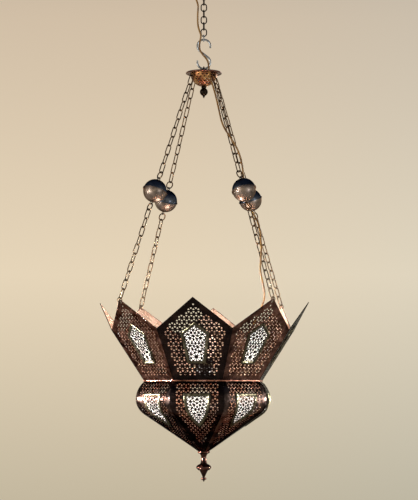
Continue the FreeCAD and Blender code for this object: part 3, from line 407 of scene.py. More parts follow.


# The crown and bowl sheets alternate two copies of one dark patina: a near-black copy darkened further as
# painted shade, and a reddish copy that carries painted warm reflection.
COPPER_BLACK_PATINA_AND_SHADE = patina("copper_black_patina_and_painted_shade", (0.007, 0.005, 0.005), (0.016, 0.011, 0.010), (0.040, 0.022, 0.018),
                     0.24)
COPPER_PATINA_AND_WARM_REFLECTION = patina("copper_red_patina_and_painted_reflection", (0.024, 0.013, 0.011), (0.078, 0.041, 0.031), (0.20, 0.105, 0.078), 0.27)
BOWL_PATINA_AND_WARM_REFLECTION = patina("bowl_brown_patina_and_painted_reflection", (0.016, 0.012, 0.011), (0.050, 0.034, 0.029), (0.12, 0.080, 0.068), 0.23)
COPPER_INSIDE = patina("copper_inside", (0.45, 0.26, 0.18), (0.74, 0.48, 0.355), (0.86, 0.62, 0.49), 0.50,
                       metal=0.55)
COPPER_BRIGHT = patina("copper_bright", (0.07, 0.030, 0.022), (0.40, 0.18, 0.12), (0.95, 0.62, 0.48), 0.20)
BRASS_OLD = patina("brass_old", (0.028, 0.025, 0.016), (0.075, 0.067, 0.043), (0.18, 0.16, 0.11), 0.32, 60.0)
LATTICE = patina("lattice_metal", (0.008, 0.006, 0.005), (0.020, 0.013, 0.010), (0.06, 0.04, 0.03),
                 0.35, 60.0)
CHAIN_BRONZE = patina("chain_bronze", (0.045, 0.028, 0.016), (0.14, 0.086, 0.048), (0.34, 0.22, 0.13),
                      0.32, 70.0)
DARK_BRONZE = patina("dark_bronze", (0.010, 0.008, 0.007), (0.030, 0.022, 0.016), (0.10, 0.07, 0.05),
                     0.34, 80.0)
STEEL = patina("worn_steel", (0.20, 0.23, 0.26), (0.42, 0.46, 0.51), (0.72, 0.76, 0.80), 0.24, 80.0)
# The two ball halves are one metal: the top half's dark navy is a painted dark reflection and shade, and the
# bottom half's warm grey is painted warm light.
BALL_TOP_PAINTED_SHADE = patina("ball_top", (0.035, 0.043, 0.060), (0.080, 0.095, 0.125), (0.15, 0.17, 0.21), 0.30, 50.0,
                  depth=0.08 * MM, rough_span=0.08)
BALL_FOOT_PAINTED_LIGHT = patina("ball_foot_painted_light", (0.12, 0.095, 0.082), (0.27, 0.215, 0.185), (0.44, 0.36, 0.31), 0.38, 50.0,
                   depth=0.04 * MM, rough_span=0.08)
CANOPY_COPPER = hammered("canopy_copper", (0.08, 0.028, 0.022), (0.33, 0.135, 0.062), (0.66, 0.39, 0.16),
                         0.34)
CANOPY_RIM = hammered("canopy_rim", (0.05, 0.020, 0.016), (0.13, 0.056, 0.042), (0.28, 0.14, 0.10), 0.32)
FINIAL_COPPER = patina("finial_copper", (0.014, 0.008, 0.007), (0.045, 0.020, 0.015), (0.14, 0.06, 0.045),
                       0.22, 60.0)
# The diffusers' emission is painted light, standing in for the bulb's light shining through the opal glass.
OPAL = glow("opal_glass_lit", (1.0, 0.93, 0.88), 1.25, outward_only=True)
BULB = glow("bulb_lit", (1.0, 0.74, 0.60), 0.75)
FLEX = flex_plastic("golden_flex")
BLACK = moulded("black_plastic", (0.012, 0.012, 0.012), (0.035, 0.034, 0.033))


# ---------------- flat shapes
def edges(polygon):
    """The edges of a polygon, as pairs of corners."""
    return list(zip(polygon, polygon[1:] + polygon[:1]))


def circle(centre, radius, count=20):
    """A round outline, anticlockwise."""
    angles = [math.tau * k / count for k in range(count)]
    return [centre + Vector((math.cos(angle), math.sin(angle))) * radius for angle in angles]


def clip(polygon, spot, normal):
    """The part of a convex polygon on the inner side of a line, with the normal pointing out."""
    kept = []
    for corner, following in edges(polygon):
        here = (corner - spot).dot(normal)
        there = (following - spot).dot(normal)
        if here <= 0:
            kept.append(corner)
        if here * there < 0:
            kept.append(corner.lerp(following, here / (here - there)))
    return kept


def inset(polygon, distance):
    """A convex polygon, anticlockwise, with every edge moved in."""
    smaller = list(polygon)
    for corner, following in edges(polygon):
        along = (following - corner).normalized()
        outward = Vector((along.y, -along.x))
        smaller = clip(smaller, corner - outward * distance, outward)
        if len(smaller) < 3:
            return []
    return smaller


def mitred(polygon, distance):
    """A polygon, anticlockwise, with each corner moved in along its mitre."""
    moved = []
    for index, corner in enumerate(polygon):
        before, after = polygon[index - 1], polygon[(index + 1) % len(polygon)]
        first, second = (corner - before).normalized(), (after - corner).normalized()
        inward = Vector((-first.y, first.x)) + Vector((-second.y, second.x))
        inward = inward / max(inward.length_squared, 1e-9) * 2
        moved.append(corner + inward * distance)
    return moved


def resampled(polygon, spacing, moved=None):
    """A polygon with its long edges divided, or a moved copy of it with its edges divided alike."""
    points = []
    for (a, b), (c, d) in zip(edges(polygon), edges(moved or polygon)):
        count = max(1, round((b - a).length / spacing))
        points.extend(c.lerp(d, k / count) for k in range(count))
    return points


def softened(polygon, share):
    """A polygon with each corner cut off, so a hole looks punched and filed."""
    soft = []
    for corner, following in edges(polygon):
        soft.append(corner.lerp(following, share))
        soft.append(corner.lerp(following, 1 - share))
    return soft


def area(polygon):
    """Signed area of a polygon."""
    return 0.5 * sum(a.x * b.y - b.x * a.y for a, b in edges(polygon))


def inside(spot, polygon):
    """Whether a point lies in a polygon."""
    hit = False
    for a, b in edges(polygon):
        if (a.y > spot.y) != (b.y > spot.y):
            if spot.x < (b.x - a.x) * (spot.y - a.y) / (b.y - a.y) + a.x:
                hit = not hit
    return hit


def near_edge(spot, polygon):
    """Distance from a point to a polygon's outline."""
    best = math.inf
    for a, b in edges(polygon):
        edge = b - a
        share = max(0.0, min(1.0, (spot - a).dot(edge) / max(edge.length_squared, 1e-12)))
        best = min(best, (spot - (a + edge * share)).length)
    return best


def lattice_cells(outline, sites, strut):
    """Three-cornered holes of a lattice whose struts join neighbouring sites, inside a convex outline."""
    rim = resampled(outline, LATTICE_RIM)
    corners, _, triangles, _, _, _ = delaunay_2d_cdt(rim + sites, [], [list(range(len(rim)))], 1, 1e-7)
    cells = []
    for triangle in triangles:
        shape = [corners[i] for i in triangle]
        hole = inset(shape if area(shape) > 0 else shape[::-1], strut / 2)
        if len(hole) == 3 and area(hole) > LEAST_CELL:
            cells.append(softened(hole, 0.2))
    return cells


def thinned(sites, spacing):
    """Sites with those that crowd an earlier one left out."""
    kept = []
    for site in sites:
        if all((site - other).length >= spacing for other in kept):
            kept.append(site)
    return kept


def lattice_sites(outline, rings, spacing):
    """The rosettes' own sites inside an outline, then a regular scatter wherever there is room."""
    xs, ys = [p.x for p in outline], [p.y for p in outline]
    rows = range(int((max(ys) - min(ys)) / spacing) + 1)
    columns = range(int(min(xs) / spacing) - 1, int(max(xs) / spacing) + 2)
    scatter = [Vector(((column + 0.5 * (row % 2)) * spacing, min(ys) + row * spacing))
               for row in rows for column in columns]
    within = [site for site in rings + scatter
              if inside(site, outline) and near_edge(site, outline) > 0.5 * spacing]
    return thinned(within, 0.86 * spacing)


def rosette(centre, rings):
    """Sites in rings round a centre: each ring is a radius, a count and a first angle in steps."""
    sites = []
    for radius, count, first in rings:
        for index in range(count):
            angle = math.tau * (index + first) / count
            sites.append(centre + Vector((math.sin(angle), math.cos(angle))) * radius)
    return sites


def filigree(zone, window, pitch, strut):
    """Small three-cornered holes, six to a star, that fill a zone and stay off its window."""
    rise = pitch * math.sqrt(3) / 2
    xs, ys = [p.x for p in zone], [p.y for p in zone]
    rows = range(int(min(ys) / rise) - 1, int(max(ys) / rise) + 2)
    columns = range(int(min(xs) / pitch) - 2, int(max(xs) / pitch) + 3)
    holes = []
    for row in rows:
        for column in columns:
            left = Vector(((column + 0.5 * (row % 2)) * pitch, row * rise))
            right = left + Vector((pitch, 0))
            peak = left + Vector((pitch / 2, rise))
            foot = left + Vector((pitch / 2, -rise))
            for tile in ([left, right, peak], [left, foot, right]):
                middle = sum(tile, Vector((0, 0))) / 3
                if not inside(middle, zone) or near_edge(middle, zone) < HOLE_MARGIN:
                    continue
                if inside(middle, window) or near_edge(middle, window) < HOLE_MARGIN:
                    continue
                small = inset(tile, strut / 2)
                if small:
                    holes.append(softened(small, 0.22))
    return holes


def fill_points(zone, holes_zone, spacing):
    """Extra points on the plain borders, so that a bent sheet bends evenly."""
    xs, ys = [p.x for p in zone], [p.y for p in zone]
    points = []
    for i in range(int(min(xs) / spacing), int(max(xs) / spacing) + 1):
        for j in range(int(min(ys) / spacing), int(max(ys) / spacing) + 1):
            spot = Vector((i * spacing, j * spacing))
            if inside(spot, zone) and near_edge(spot, zone) > spacing * 0.3:
                if not holes_zone or not inside(spot, holes_zone):
                    points.append(spot)
    return points


def flat_sheet(outline, holes, extra=()):
    """Points and triangles of a flat sheet with holes."""
    points, loops = [], []
    for loop in [outline] + holes:
        loops.append(list(range(len(points), len(points) + len(loop))))
        points.extend(loop)
    points.extend(extra)
    corners, _, triangles, _, _, within = delaunay_2d_cdt(points, [], loops, 1, 1e-7)
    return corners, [triangle for triangle, loops_round in zip(triangles, within) if loops_round == [0]]


# ---------------- meshes
def new_object(name, verts, faces, materials, smooth_angle=None):
    """An object in world coordinates."""
    mesh = bpy.data.meshes.new(name)
    mesh.from_pydata([tuple(v) for v in verts], [], faces)
    for material in materials:
        mesh.materials.append(material)
    if smooth_angle is not None:
        mesh.shade_smooth()
        mesh.set_sharp_from_angle(angle=math.radians(smooth_angle))
    return added(name, mesh)


def thicken(verts, faces, normals, thickness):
    """A closed shell: the outer skin, the inner one a thickness below, and walls along open edges.

    Returns points, faces and how many faces belong to the outer skin."""
    count = len(verts)
    inner = [v - n * thickness for v, n in zip(verts, normals)]
    sides = dict.fromkeys(side for face in faces for side in edges(face))
    walls = [(b, a, a + count, b + count) for a, b in sides if (b, a) not in sides]
    back = [tuple(i + count for i in reversed(face)) for face in faces]
    return list(verts) + inner, [tuple(f) for f in faces] + back + walls, len(faces)


def sheet_object(name, flat, bend, thickness, outside, inside_metal, smooth_angle=None):
    """A flat sheet bent into place.  bend gives a point and its outward normal for a flat point."""
    points, faces = flat
    placed = [bend(p) for p in points]
    verts, normals = [p for p, _ in placed], [n for _, n in placed]
    oriented = []
    for face in faces:
        a, b, c = (verts[i] for i in face[:3])
        turned = (b - a).cross(c - a).dot(normals[face[0]]) < 0
        oriented.append(list(reversed(face)) if turned else list(face))
    verts, faces, outer = thicken(verts, oriented, normals, thickness)
    thing = new_object(name, verts, faces, [outside, inside_metal], smooth_angle)
    for polygon in thing.data.polygons[outer:2 * outer]:
        polygon.material_index = 1
    return thing


def turn_about_axis(number):
    """The turn from the first panel, which faces -Y, to a numbered one."""
    return Matrix.Rotation((number - 1) * STEP, 4, "Z")


def copied(thing, name, matrix, materials=()):
    """A copy of an object, its mesh turned by a matrix, with other materials in its first slots if given."""
    twin = added(name, thing.data.copy())
    twin.data.transform(matrix)
    for index, material in enumerate(materials):
        twin.data.materials[index] = material
    return twin


def ride(thing, *nodes, slot):
    """Let a piece ride on the lantern and stand for its CAD nodes.  The slot argument is not used."""
    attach(thing, LAMP)
    if nodes:
        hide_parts(*nodes)


def tube_faces(rows, sides):
    """The faces of a tube with closed ends, whose points come in rows of equal count."""
    last = (rows - 1) * sides
    faces = []
    for start in range(0, last, sides):
        for k in range(sides):
            a, b = start + k, start + (k + 1) % sides
            faces.append((a, b, b + sides, a + sides))
    return faces + [tuple(range(sides - 1, -1, -1)), tuple(range(last, last + sides))]


def lathe(name, profile, foot, material, segments, smooth_angle):
    """A turned piece: (radius, height) pairs spun about the lantern's axis above a foot level."""
    verts = []
    for radius, height in profile:
        for k in range(segments):
            angle = math.tau * k / segments
            verts.append((radius * math.cos(angle), radius * math.sin(angle), foot + height))
    return new_object(name, verts, tube_faces(len(profile), segments), [material], smooth_angle)


def rod(name, points, radius, material, sides=10):
    """A round wire along points, with its ends closed."""
    verts = []
    last = len(points) - 1
    for index, point in enumerate(points):
        along = (points[min(index + 1, last)] - points[max(index - 1, 0)]).normalized()
        side = along.cross(Vector((0, 0, 1))).normalized()
        up = side.cross(along)
        for k in range(sides):
            angle = math.tau * k / sides
            verts.append(point + side * (radius * math.cos(angle)) + up * (radius * math.sin(angle)))
    return new_object(name, verts, tube_faces(len(points), sides), [material], 50)


def frame_ring(name, outline, bend, width, height, material):
    """A raised moulding that follows a convex outline: bevelled outside, round on top, stepped inside."""
    steps = [(0.0, 0.0), (0.0, 0.55), (0.12, 0.88), (0.28, 1.0), (0.55, 1.0), (0.72, 0.82), (0.80, 0.55),
             (0.94, 0.45), (1.0, 0.30), (1.0, 0.0)]
    verts, faces = [], []
    for across, up in steps:
        for spot in resampled(outline, MOULDING_STEP, mitred(outline, width * across)):
            place, normal = bend(spot)
            verts.append(place + normal * (height * up))
    count = len(verts) // len(steps)
    for row in range(len(steps)):
        here, there = row * count, (row + 1) % len(steps) * count
        for k, following in edges(list(range(count))):
            faces.append((here + k, here + following, there + following, there + k))
    return new_object(name, verts, faces, [material], 35)


# ---------------- crown
def crown_bend(lift):
    """From a crown panel's flat (across, up the slope) to space, for the panel facing -Y."""
    slope = Vector((0, -math.sin(LEAN), math.cos(LEAN)))
    outward = Vector((0, -math.cos(LEAN), -math.sin(LEAN)))
    foot = Vector((0, -NECK_APOTHEM, NECK_Z))

    def place(flat):
        return foot + Vector((flat.x, 0, 0)) + slope * flat.y + outward * lift, outward
    return place


def crown_half_width(slant):
    """Half the width of a crown panel at a distance up its slope."""
    return (NECK_APOTHEM + math.sin(LEAN) * slant) * TAN_HALF - JOINT_GAP


def crown_outline():
    """The five corners of a crown panel, anticlockwise."""
    low = BEAD + JOINT_GAP
    return [Vector((-crown_half_width(low), low)), Vector((crown_half_width(low), low)),
            Vector((crown_half_width(VALLEY), VALLEY)), Vector((0, CROWN_SLANT)),
            Vector((-crown_half_width(VALLEY), VALLEY))]


def crown_window_outline():
    """The outer edge of a crown window's frame, anticlockwise."""
    return [Vector((-WINDOW_NARROW, WINDOW_FOOT)), Vector((WINDOW_NARROW, WINDOW_FOOT)),
            Vector((WINDOW_WIDE, WINDOW_SHOULDER)), Vector((0, WINDOW_TOP)),
            Vector((-WINDOW_WIDE, WINDOW_SHOULDER))]


def crown():
    """Eight pierced panels with hems and seams, and their windows with frames and lattices."""
    window, outline, bend = crown_window_outline(), crown_outline(), crown_bend(SHEET)
    opening = inset(window, CROWN_FRAME * 0.75)
    fine = filigree(inset(outline, CROWN_BORDER), window, CROWN_PITCH, CROWN_STRUT)
    ring_hole = circle(Vector((0, CROWN_SLANT - RING_HOLE_DROP)), RING_HOLE_RADIUS)
    plain_panel = sheet_object("crown_master", flat_sheet(outline, [opening] + fine), bend, SHEET,
                               COPPER_BLACK_PATINA_AND_SHADE, COPPER_INSIDE)
    hung_panel = sheet_object("crown_master_hung", flat_sheet(outline, [opening, ring_hole] + fine), bend,
                              SHEET, COPPER_BLACK_PATINA_AND_SHADE, COPPER_INSIDE)
    inner = inset(window, CROWN_FRAME)
    star, flower = Vector((0, WINDOW_SHOULDER + 1 * MM)), Vector((0, WINDOW_FOOT + 35.5 * MM))
    rings = rosette(star, [(0, 1, 0), (8.6 * MM, 6, 0.5), (16.4 * MM, 12, 0.5)])
    rings += rosette(flower, [(0, 1, 0), (8.8 * MM, 8, 0.5), (17 * MM, 8, 0.0)])
    cells = lattice_cells(inner, lattice_sites(inner, rings, CROWN_SITES), CROWN_LATTICE_STRUT)
    plate = sheet_object("window_lattice_master", flat_sheet(inset(window, CROWN_FRAME * 0.8), cells),
                         crown_bend(WINDOW_LIFT + LATTICE_SHEET), LATTICE_SHEET, LATTICE, LATTICE)
    moulding = frame_ring("window_frame_master", window, crown_bend(WINDOW_LIFT), CROWN_FRAME,
                          CROWN_FRAME_HIGH, BRASS_OLD)
    hem_points = [bend(corner)[0] - bend(corner)[1] * SHEET / 2 for corner in outline[2:]]
    hem = rod("hem_master", hem_points, HEM_RADIUS, COPPER_PATINA_AND_WARM_REFLECTION)
    seam_points = [Vector((crown_half_width(slant) + JOINT_GAP, -(NECK_APOTHEM + math.sin(LEAN) * slant),
                           NECK_Z + math.cos(LEAN) * slant)) for slant in (BEAD, VALLEY)]
    seam = rod("seam_master", seam_points, SEAM_RADIUS, COPPER_BLACK_PATINA_AND_SHADE)
    for number in range(1, SIDES + 1):
        turn = turn_about_axis(number)
        # Odd panels take the near-black copy with painted shade, even panels the reddish copy with painted
        # warm reflection.
        outside = COPPER_BLACK_PATINA_AND_SHADE if number % 2 else COPPER_PATINA_AND_WARM_REFLECTION
        master = hung_panel if number in HUNG else plain_panel
        ride(copied(master, f"crown_sheet_{number}", turn, [outside]), f"crown_panel_{number}",
             slot="aged_copper")
        ride(copied(moulding, f"crown_moulding_{number}", turn), "crown_windows", slot="brass_trim")
        ride(copied(plate, f"crown_lattice_{number}", turn), "crown_windows", slot="brass_trim")
        ride(copied(hem, f"crown_hem_{number}", turn, [outside]), slot="aged_copper")
        ride(copied(seam, f"crown_seam_{number}", turn), slot="aged_copper")
    for master in (plain_panel, hung_panel, plate, moulding, hem, seam):
        bpy.data.objects.remove(master)


# ---------------- bowl
def arc_points(start, middle, end, count):
    """Points along the arc through three points."""
    a, b = middle - start, end - start
    d = 2 * (a.x * b.y - a.y * b.x)
    centre = start + Vector((b.y * a.length_squared - a.y * b.length_squared,
                             a.x * b.length_squared - b.x * a.length_squared)) / d
    first = math.atan2(start.y - centre.y, start.x - centre.x)
    last = math.atan2(end.y - centre.y, end.x - centre.x)
    sweep = (last - first + math.pi) % math.tau - math.pi
    radius = (start - centre).length
    angles = [first + sweep * k / count for k in range(count + 1)]
    return [centre + Vector((math.cos(angle), math.sin(angle))) * radius for angle in angles]


def bowl_profile():
    """(radius, height) points along the middle of a gore's inner face, from the neck to the toe."""
    flat = math.cos(HALF)
    neck_corner = NECK_APOTHEM / flat - 1.2 * MM

    def spot(corner, depth):
        """A point of the outline, from the octagon's corner radius and the depth below the neck."""
        return Vector((corner * flat, NECK_Z - depth))

    def from_bulge(bend, turn):
        """The point a turn along a bend that starts upright at the bulge."""
        return bulge + Vector((-bend * (1 - math.cos(turn)), bend * math.sin(turn)))

    neck, bulge = spot(neck_corner, 0), spot(neck_corner + 22.5 * MM, BULGE_DEPTH)
    hip, toe = spot(neck_corner + 3.8 * MM, 77.4 * MM), Vector((15 * MM * flat, BOWL_LOW.z))
    points = arc_points(neck, from_bulge(52.3 * MM, math.radians(27)), bulge, 14)
    points += arc_points(bulge, from_bulge(41 * MM, math.radians(-30)), hip, 12)[1:]
    return points + [hip.lerp(toe, k / 12) for k in range(1, 13)]


class Profile:
    """The bowl's outline, read by distance along it."""

    def __init__(self, points):
        self.points = points
        self.marks = [0.0]
        for a, b in zip(points, points[1:]):
            self.marks.append(self.marks[-1] + (b - a).length)
        self.length = self.marks[-1]

    def at(self, distance):
        """A point of the outline and its outward normal, both as (radius, height)."""
        distance = max(0.0, min(self.length, distance))
        index = 0
        while index < len(self.marks) - 2 and self.marks[index + 1] < distance:
            index += 1
        share = (distance - self.marks[index]) / (self.marks[index + 1] - self.marks[index])
        spot = self.points[index].lerp(self.points[index + 1], share)
        here = self.tangent(index).lerp(self.tangent(index + 1), share).normalized()
        return spot, Vector((-here.y, here.x))

    def tangent(self, index):
        """Direction of the outline at one of its points."""
        before, after = self.points[max(index - 1, 0)], self.points[min(index + 1, len(self.points) - 1)]
        return (after - before).normalized()

    def at_height(self, height):
        """Distance along the outline at a height."""
        low, high = 0.0, self.length
        for _ in range(40):
            middle = (low + high) / 2
            if self.at(middle)[0].y > height:
                low = middle
            else:
                high = middle
        return (low + high) / 2


BOWL = Profile(bowl_profile())


def bowl_half_width(distance):
    """Half the width of a gore at a distance down its outline."""
    return BOWL.at(distance)[0].x * TAN_HALF - JOINT_GAP


def bowl_bend(lift):
    """From a gore's flat (across, down the outline as negative) to space, for the gore facing -Y.

    A gore rolls over towards its two seams, and less so near the narrow toe."""
    full_roll = 20 * MM

    def place(flat):
        spot, normal = BOWL.at(-flat.y)
        half = spot.x * TAN_HALF
        reach = min(GORE_EDGE, half)
        over = max(0.0, abs(flat.x) - (half - reach)) / reach
        drop = GORE_EDGE_DROP * over ** 2.4 * min(1.0, half / full_roll)
        tilt = GORE_EDGE_TILT * over ** 1.4
        outward = Vector((math.copysign(math.sin(tilt), flat.x), -normal.x * math.cos(tilt),
                          normal.y * math.cos(tilt))).normalized()
        base = Vector((flat.x, -spot.x, spot.y))
        push = Vector((0, -normal.x, normal.y))
        return base + push * (lift - drop), outward
    return place


def gore_strip(top, toe, steps, border=0.0):
    """A gore laid flat between two distances down its outline, anticlockwise, less a border at its sides."""
    left = []
    for k in range(steps + 1):
        mark = top + (toe - top) * k / steps
        left.append(Vector((-max(bowl_half_width(mark) - border, 0.4 * MM), -mark)))
    return left + [Vector((-corner.x, corner.y)) for corner in reversed(left)]


def shield(inset_by):
    """The bowl window's outline laid flat: straight top, sides bowed out to a point, anticlockwise."""
    top = -BOWL.at_height(SHIELD_HIGH.z) - inset_by
    foot = -BOWL.at_height(SHIELD_LOW.z) + 2.2 * inset_by
    half = SHIELD_WIDE - inset_by
    belly = Vector((half * 0.8, top * 0.55 + foot * 0.45))
    side = arc_points(Vector((0, foot)), belly, Vector((half, top)), 10)
    return side + [Vector((-p.x, p.y)) for p in reversed(side[1:])]


def bowl():
    """Eight pierced gores, with a moulding and a lattice on each window."""
    window, opening, inner, border = (shield(distance * MM) for distance in (0, 5, 6.5, 5.4))
    zone = gore_strip(BEAD + 7 * MM, BOWL.length - 26 * MM, 30, BOWL_BORDER)
    fine = filigree(zone, window, BOWL_PITCH, BOWL_STRUT)
    outline = gore_strip(BEAD + 0.4 * MM, BOWL.length, 40)
    extra = fill_points(outline, zone, 5 * MM)
    gore = sheet_object("gore_master", flat_sheet(outline, [opening] + fine, extra), bowl_bend(SHEET), SHEET,
                        COPPER_BLACK_PATINA_AND_SHADE, COPPER_INSIDE, 30)
    upper = Vector((0, max(corner.y for corner in window) - 22 * MM))
    rings = rosette(upper, [(0, 1, 0), (8.2 * MM, 6, 0.0), (15.6 * MM, 12, 0.5)])
    rings += rosette(upper - Vector((0, 24 * MM)), [(0, 1, 0), (8.2 * MM, 8, 0.5)])
    cells = lattice_cells(inner, lattice_sites(inner, rings, BOWL_SITES), BOWL_LATTICE_STRUT)
    plate = sheet_object("bowl_lattice_master", flat_sheet(border, cells, fill_points(border, None, 30 * MM)),
                         bowl_bend(WINDOW_LIFT + LATTICE_SHEET), LATTICE_SHEET, LATTICE, LATTICE, 30)
    moulding = frame_ring("bowl_frame_master", window, bowl_bend(WINDOW_LIFT), BOWL_FRAME, BOWL_FRAME_HIGH,
                          BRASS_OLD)
    for number in range(1, SIDES + 1):
        turn = turn_about_axis(number)
        # Odd gores take the near-black copy with painted shade, even gores the brownish copy with painted
        # warm reflection.
        outside = COPPER_BLACK_PATINA_AND_SHADE if number % 2 else BOWL_PATINA_AND_WARM_REFLECTION
        ride(copied(gore, f"bowl_gore_{number}", turn, [outside]), f"bowl_panel_{number}", slot="aged_copper")
        ride(copied(plate, f"bowl_lattice_{number}", turn), "bowl_windows", slot="brass_trim")
        ride(copied(moulding, f"bowl_moulding_{number}", turn), "bowl_windows", slot="brass_trim")
    for master in (gore, plate, moulding):
        bpy.data.objects.remove(master)


# ---------------- turned and pierced pieces
def rounded(corners, steps=5):
    """A smooth outline inside a line of (radius, height) corners; a corner given twice stays sharp."""
    points = [Vector(corners[0])]
    start = points[0]
    for corner, following in zip(corners[1:-1], corners[2:]):
        corner, following = Vector(corner), Vector(following)
        end = (corner + following) / 2
        for step in range(1, steps + 1):
            share = step / steps
            points.append(start.lerp(corner, share).lerp(corner.lerp(end, share), share))
        start = end
    points.append(Vector(corners[-1]))
    return [(point.x, point.y) for point in points]


def bottom_drop():
    """The turned drop under the bowl: a flared collar, a waist, a round bead, a cone and a button."""
    low, _ = box("bottom_finial")
    outline = [(0.3, 0), (1.6, 1.6), (2.2, 4.6), (5.4, 4.9), (6.3, 5.4), (6.3, 9.4), (5.4, 9.9), (2.7, 10.2),
               (2.7, 12), (9.4, 26), (10.6, 27.2), (13.6, 27.4), (14.6, 28.4), (14.8, 30.6), (17.3, 31),
               (18.0, 34.2), (16.4, 38), (12, 41), (8.4, 42.4), (7.6, 45), (5.9, 50), (5.8, 58), (7.4, 63.5),
               (8.2, 64), (8.4, 65.6), (12.6, 67), (14.4, 69), (14.4, 71.8), (12.6, 73.4)]
    drop = lathe("bottom_drop", [(r * MM, z * MM) for r, z in rounded(outline)], low.z, FINIAL_COPPER, 64, 35)
    ride(drop, "bottom_finial", slot="aged_copper")


def canopy_drop():
    """Collar, ball and pointed tip under the canopy's dome."""
    low, high = box("canopy_finial")
    ball, tall = high.x, high.z - low.z
    collar, overlap = 5 * MM, 2 * MM
    middle = tall - collar - ball + overlap
    outline = [(0.4 * MM, 0), (1.2 * MM, 1.6 * MM), (3.4 * MM, middle - ball)]
    for step in range(2, 24):
        angle = math.pi * step / 25
        outline.append((ball * math.sin(angle), middle - ball * math.cos(angle)))
    outline += [(4.6 * MM, middle + ball * 0.93), (5.8 * MM, middle + ball * 0.97),
                (6.0 * MM, tall - 0.6 * MM), (5.6 * MM, tall)]
    ride(lathe("canopy_drop", outline, low.z, DARK_BRONZE, 48, 40), "canopy_finial", slot="dark_bronze")


def pierced_dome():
    """The canopy's cup: rows of filed holes between a plain rim and a plain foot."""
    low, high = box("canopy_dome")
    rim, depth = high.x, high.z - low.z
    ball = (rim * rim + depth * depth) / (2 * depth)
    centre = Vector((0, 0, low.z + ball))
    rows, count = 7, 20
    hole_wide, hole_corner, hole_shift = 0.62, 0.34, 0.001
    first, last = math.asin(7.4 * MM / ball), math.acos((ball - depth) / ball)
    pierced = last - 3.2 * MM / ball - first
    levels = [math.asin(2.4 * MM / ball)] + [first + pierced * k / rows for k in range(rows + 1)] + [last]
    shares = [(0, 0), (1, 0), (2, 0), (2, 0.5), (2, 1), (1, 1), (0, 1), (0, 0.5)]
    index, places, faces = {}, [], []

    def corner(turn, level):
        """The number of a point shared by its cells: turn counts half cells round the cup, level is the angle
        up from its foot."""
        key = (round(turn * 4) % (8 * count), round(level * 1e6))
        if key not in index:
            index[key] = len(places)
            angle = math.tau * turn / (2 * count)
            places.append(Vector((math.sin(level) * math.cos(angle), math.sin(level) * math.sin(angle),
                                  -math.cos(level))))
        return index[key]

    for row, (bottom, top) in enumerate(zip(levels, levels[1:])):
        for cell in range(count):
            start = 2 * cell + row % 2
            ring = [corner(start + across, bottom + (top - bottom) * up) for across, up in shares]
            if not 0 < row <= rows:
                faces.append(tuple(ring))
                continue
            hole = []
            for across, up in shares:
                reach = hole_wide if across == 1 or up == 0.5 else hole_corner
                hole.append(corner(start + 1 + (across - 1) * reach + hole_shift,
                                   bottom + (top - bottom) * (0.5 + (up - 0.5) * reach)))
            faces += [(a, b, d, c) for (a, b), (c, d) in zip(edges(ring), edges(hole))]
    verts = [centre + place * ball for place in places]
    verts, faces, _ = thicken(verts, [tuple(reversed(face)) for face in faces], places, SHEET)
    ride(new_object("canopy_cup", verts, faces, [CANOPY_COPPER], 40), "canopy_dome", slot="canopy_copper")


def flex_curve(name, route):
    """One stretch of the flex as a round spline whose corners are the route's."""
    curve = bpy.data.curves.new(name, "CURVE")
    curve.dimensions = "3D"
    curve.bevel_depth = CORD_DIA / 2
    curve.bevel_resolution = 5
    curve.use_fill_caps = True
    spline = curve.splines.new("NURBS")
    spline.points.add(len(route) - 1)
    for point, place in zip(spline.points, route):
        point.co = (*(Vector(place) * MM), 1)
    spline.order_u = 3
    spline.use_endpoint_u = True
    spline.resolution_u = 12
    curve.materials.append(FLEX)
    return added(name, curve)


def as_mesh(thing):
    """The mesh that Blender makes of a curve object as it stands."""
    bpy.context.view_layer.update()
    graph = bpy.context.evaluated_depsgraph_get()
    return bpy.data.meshes.new_from_object(thing.evaluated_get(graph))


def centreline(thing):
    """The points along a curve object's own line, read from it with its bevel off."""
    bevel, thing.data.bevel_depth = thing.data.bevel_depth, 0
    points = [vertex.co.copy() for vertex in as_mesh(thing).vertices]
    thing.data.bevel_depth = bevel
    return points


def meshed(thing):
    """A curve object turned into a mesh object of the same name."""
    mesh, name = as_mesh(thing), thing.name
    bpy.data.objects.remove(thing)
    mesh.shade_smooth()
    mesh.set_sharp_from_angle(angle=math.radians(50))
    return added(name, mesh)


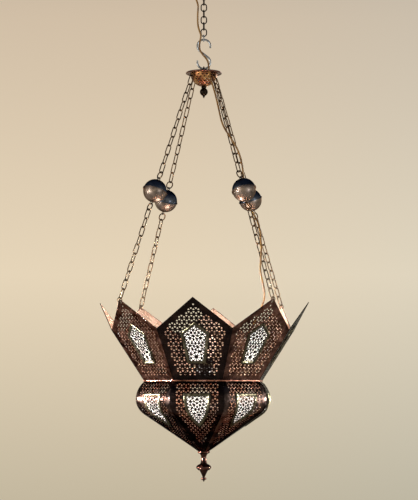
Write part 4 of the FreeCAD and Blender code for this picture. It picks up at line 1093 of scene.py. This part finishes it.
def flex():
    """The flex from the ceiling bush to the lamp holder, in the four stretches that the joints part."""
    stretches = [("flex_ceiling", CORD_CEILING, "cord_ceiling", ("ceiling_fitting", "hanging_chain")),
                 ("flex_hook", CORD_HOOK, "cord_hook", ("hanging_chain", "s_hook")),
                 ("flex_canopy", CORD_CANOPY, "cord_canopy", ("s_hook", LAMP)),
                 ("flex_lantern", CORD_LANTERN, "cord_lantern", None)]
    for name, route, node, across in stretches:
        thing = flex_curve(name, route)
        path = centreline(thing)
        if across:
            thing = meshed(thing)
            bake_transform(thing)
        else:
            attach(thing, LAMP)
        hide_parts(node)


# ---------------- CAD nodes that keep their shape
def carried_over():
    """Materials for the CAD nodes that are shown as they are."""
    looks = [(DARK_BRONZE, ("ceiling_chain", "canopy_eye", "hanger_eyes", "ceiling_hook")),
             (STEEL, ("s_hook", "chain_end_link", "hook_nut", "finial_nut", "finial_washer", "ceiling_plate",
                      "bulb_cap")),
             (CHAIN_BRONZE, ("chain_1", "chain_2", "chain_3", "chain_4", "ball_rings", "tip_rings")),
             (BALL_TOP_PAINTED_SHADE, ("ball_tops",)), (BALL_FOOT_PAINTED_LIGHT, ("ball_bottoms",)),
             (CANOPY_RIM, ("canopy_plate", "ceiling_rose")), (COPPER_BRIGHT, ("neck_ring",)),
             (OPAL, ("crown_diffusers", "bowl_diffusers")), (BRASS_OLD, ("lamp_bar", "holder_ring")),
             (BLACK, ("lamp_holder", "cord_grip", "cord_bush", "terminal_block")), (BULB, ("bulb_glass",))]
    for material, nodes in looks:
        for node in nodes:
            materials = frame["nodes"][node].data.materials
            materials.clear()
            materials.append(material)


def lights():
    """Three narrow beams for the highlights on the bowl's bulge, and three lights for the whole lantern."""
    narrow = 14
    softbox("left_front", (-2.6, -1.45, -1.0), (0.3, 0.4), 9, (1.0, 0.97, 0.94), BULGE, narrow)
    softbox("left", (-2.9, 0.3, -1.02), (0.3, 0.3), 3.0, (1.0, 0.97, 0.94), BULGE, narrow)
    softbox("right", (2.85, 0.5, -1.02), (0.3, 0.3), 4.4, (1.0, 0.98, 0.97), BULGE, narrow)
    softbox("key", (-2.4, -2.2, -0.5), (0.9, 1.3), 26, (1.0, 0.95, 0.88))
    softbox("fill", (2.4, -2.0, -0.9), (0.5, 0.9), 13, (0.95, 0.97, 1.0))
    softbox("rim", (1.2, 2.6, 0.3), (1.2, 1.2), 18, (1.0, 0.93, 0.85))


camera()
flex()
crown()
bowl()
bottom_drop()
canopy_drop()
pierced_dome()
carried_over()
world()
stage()
bulb_light()
lights()
bpy.context.scene.view_settings.view_transform = "Standard"
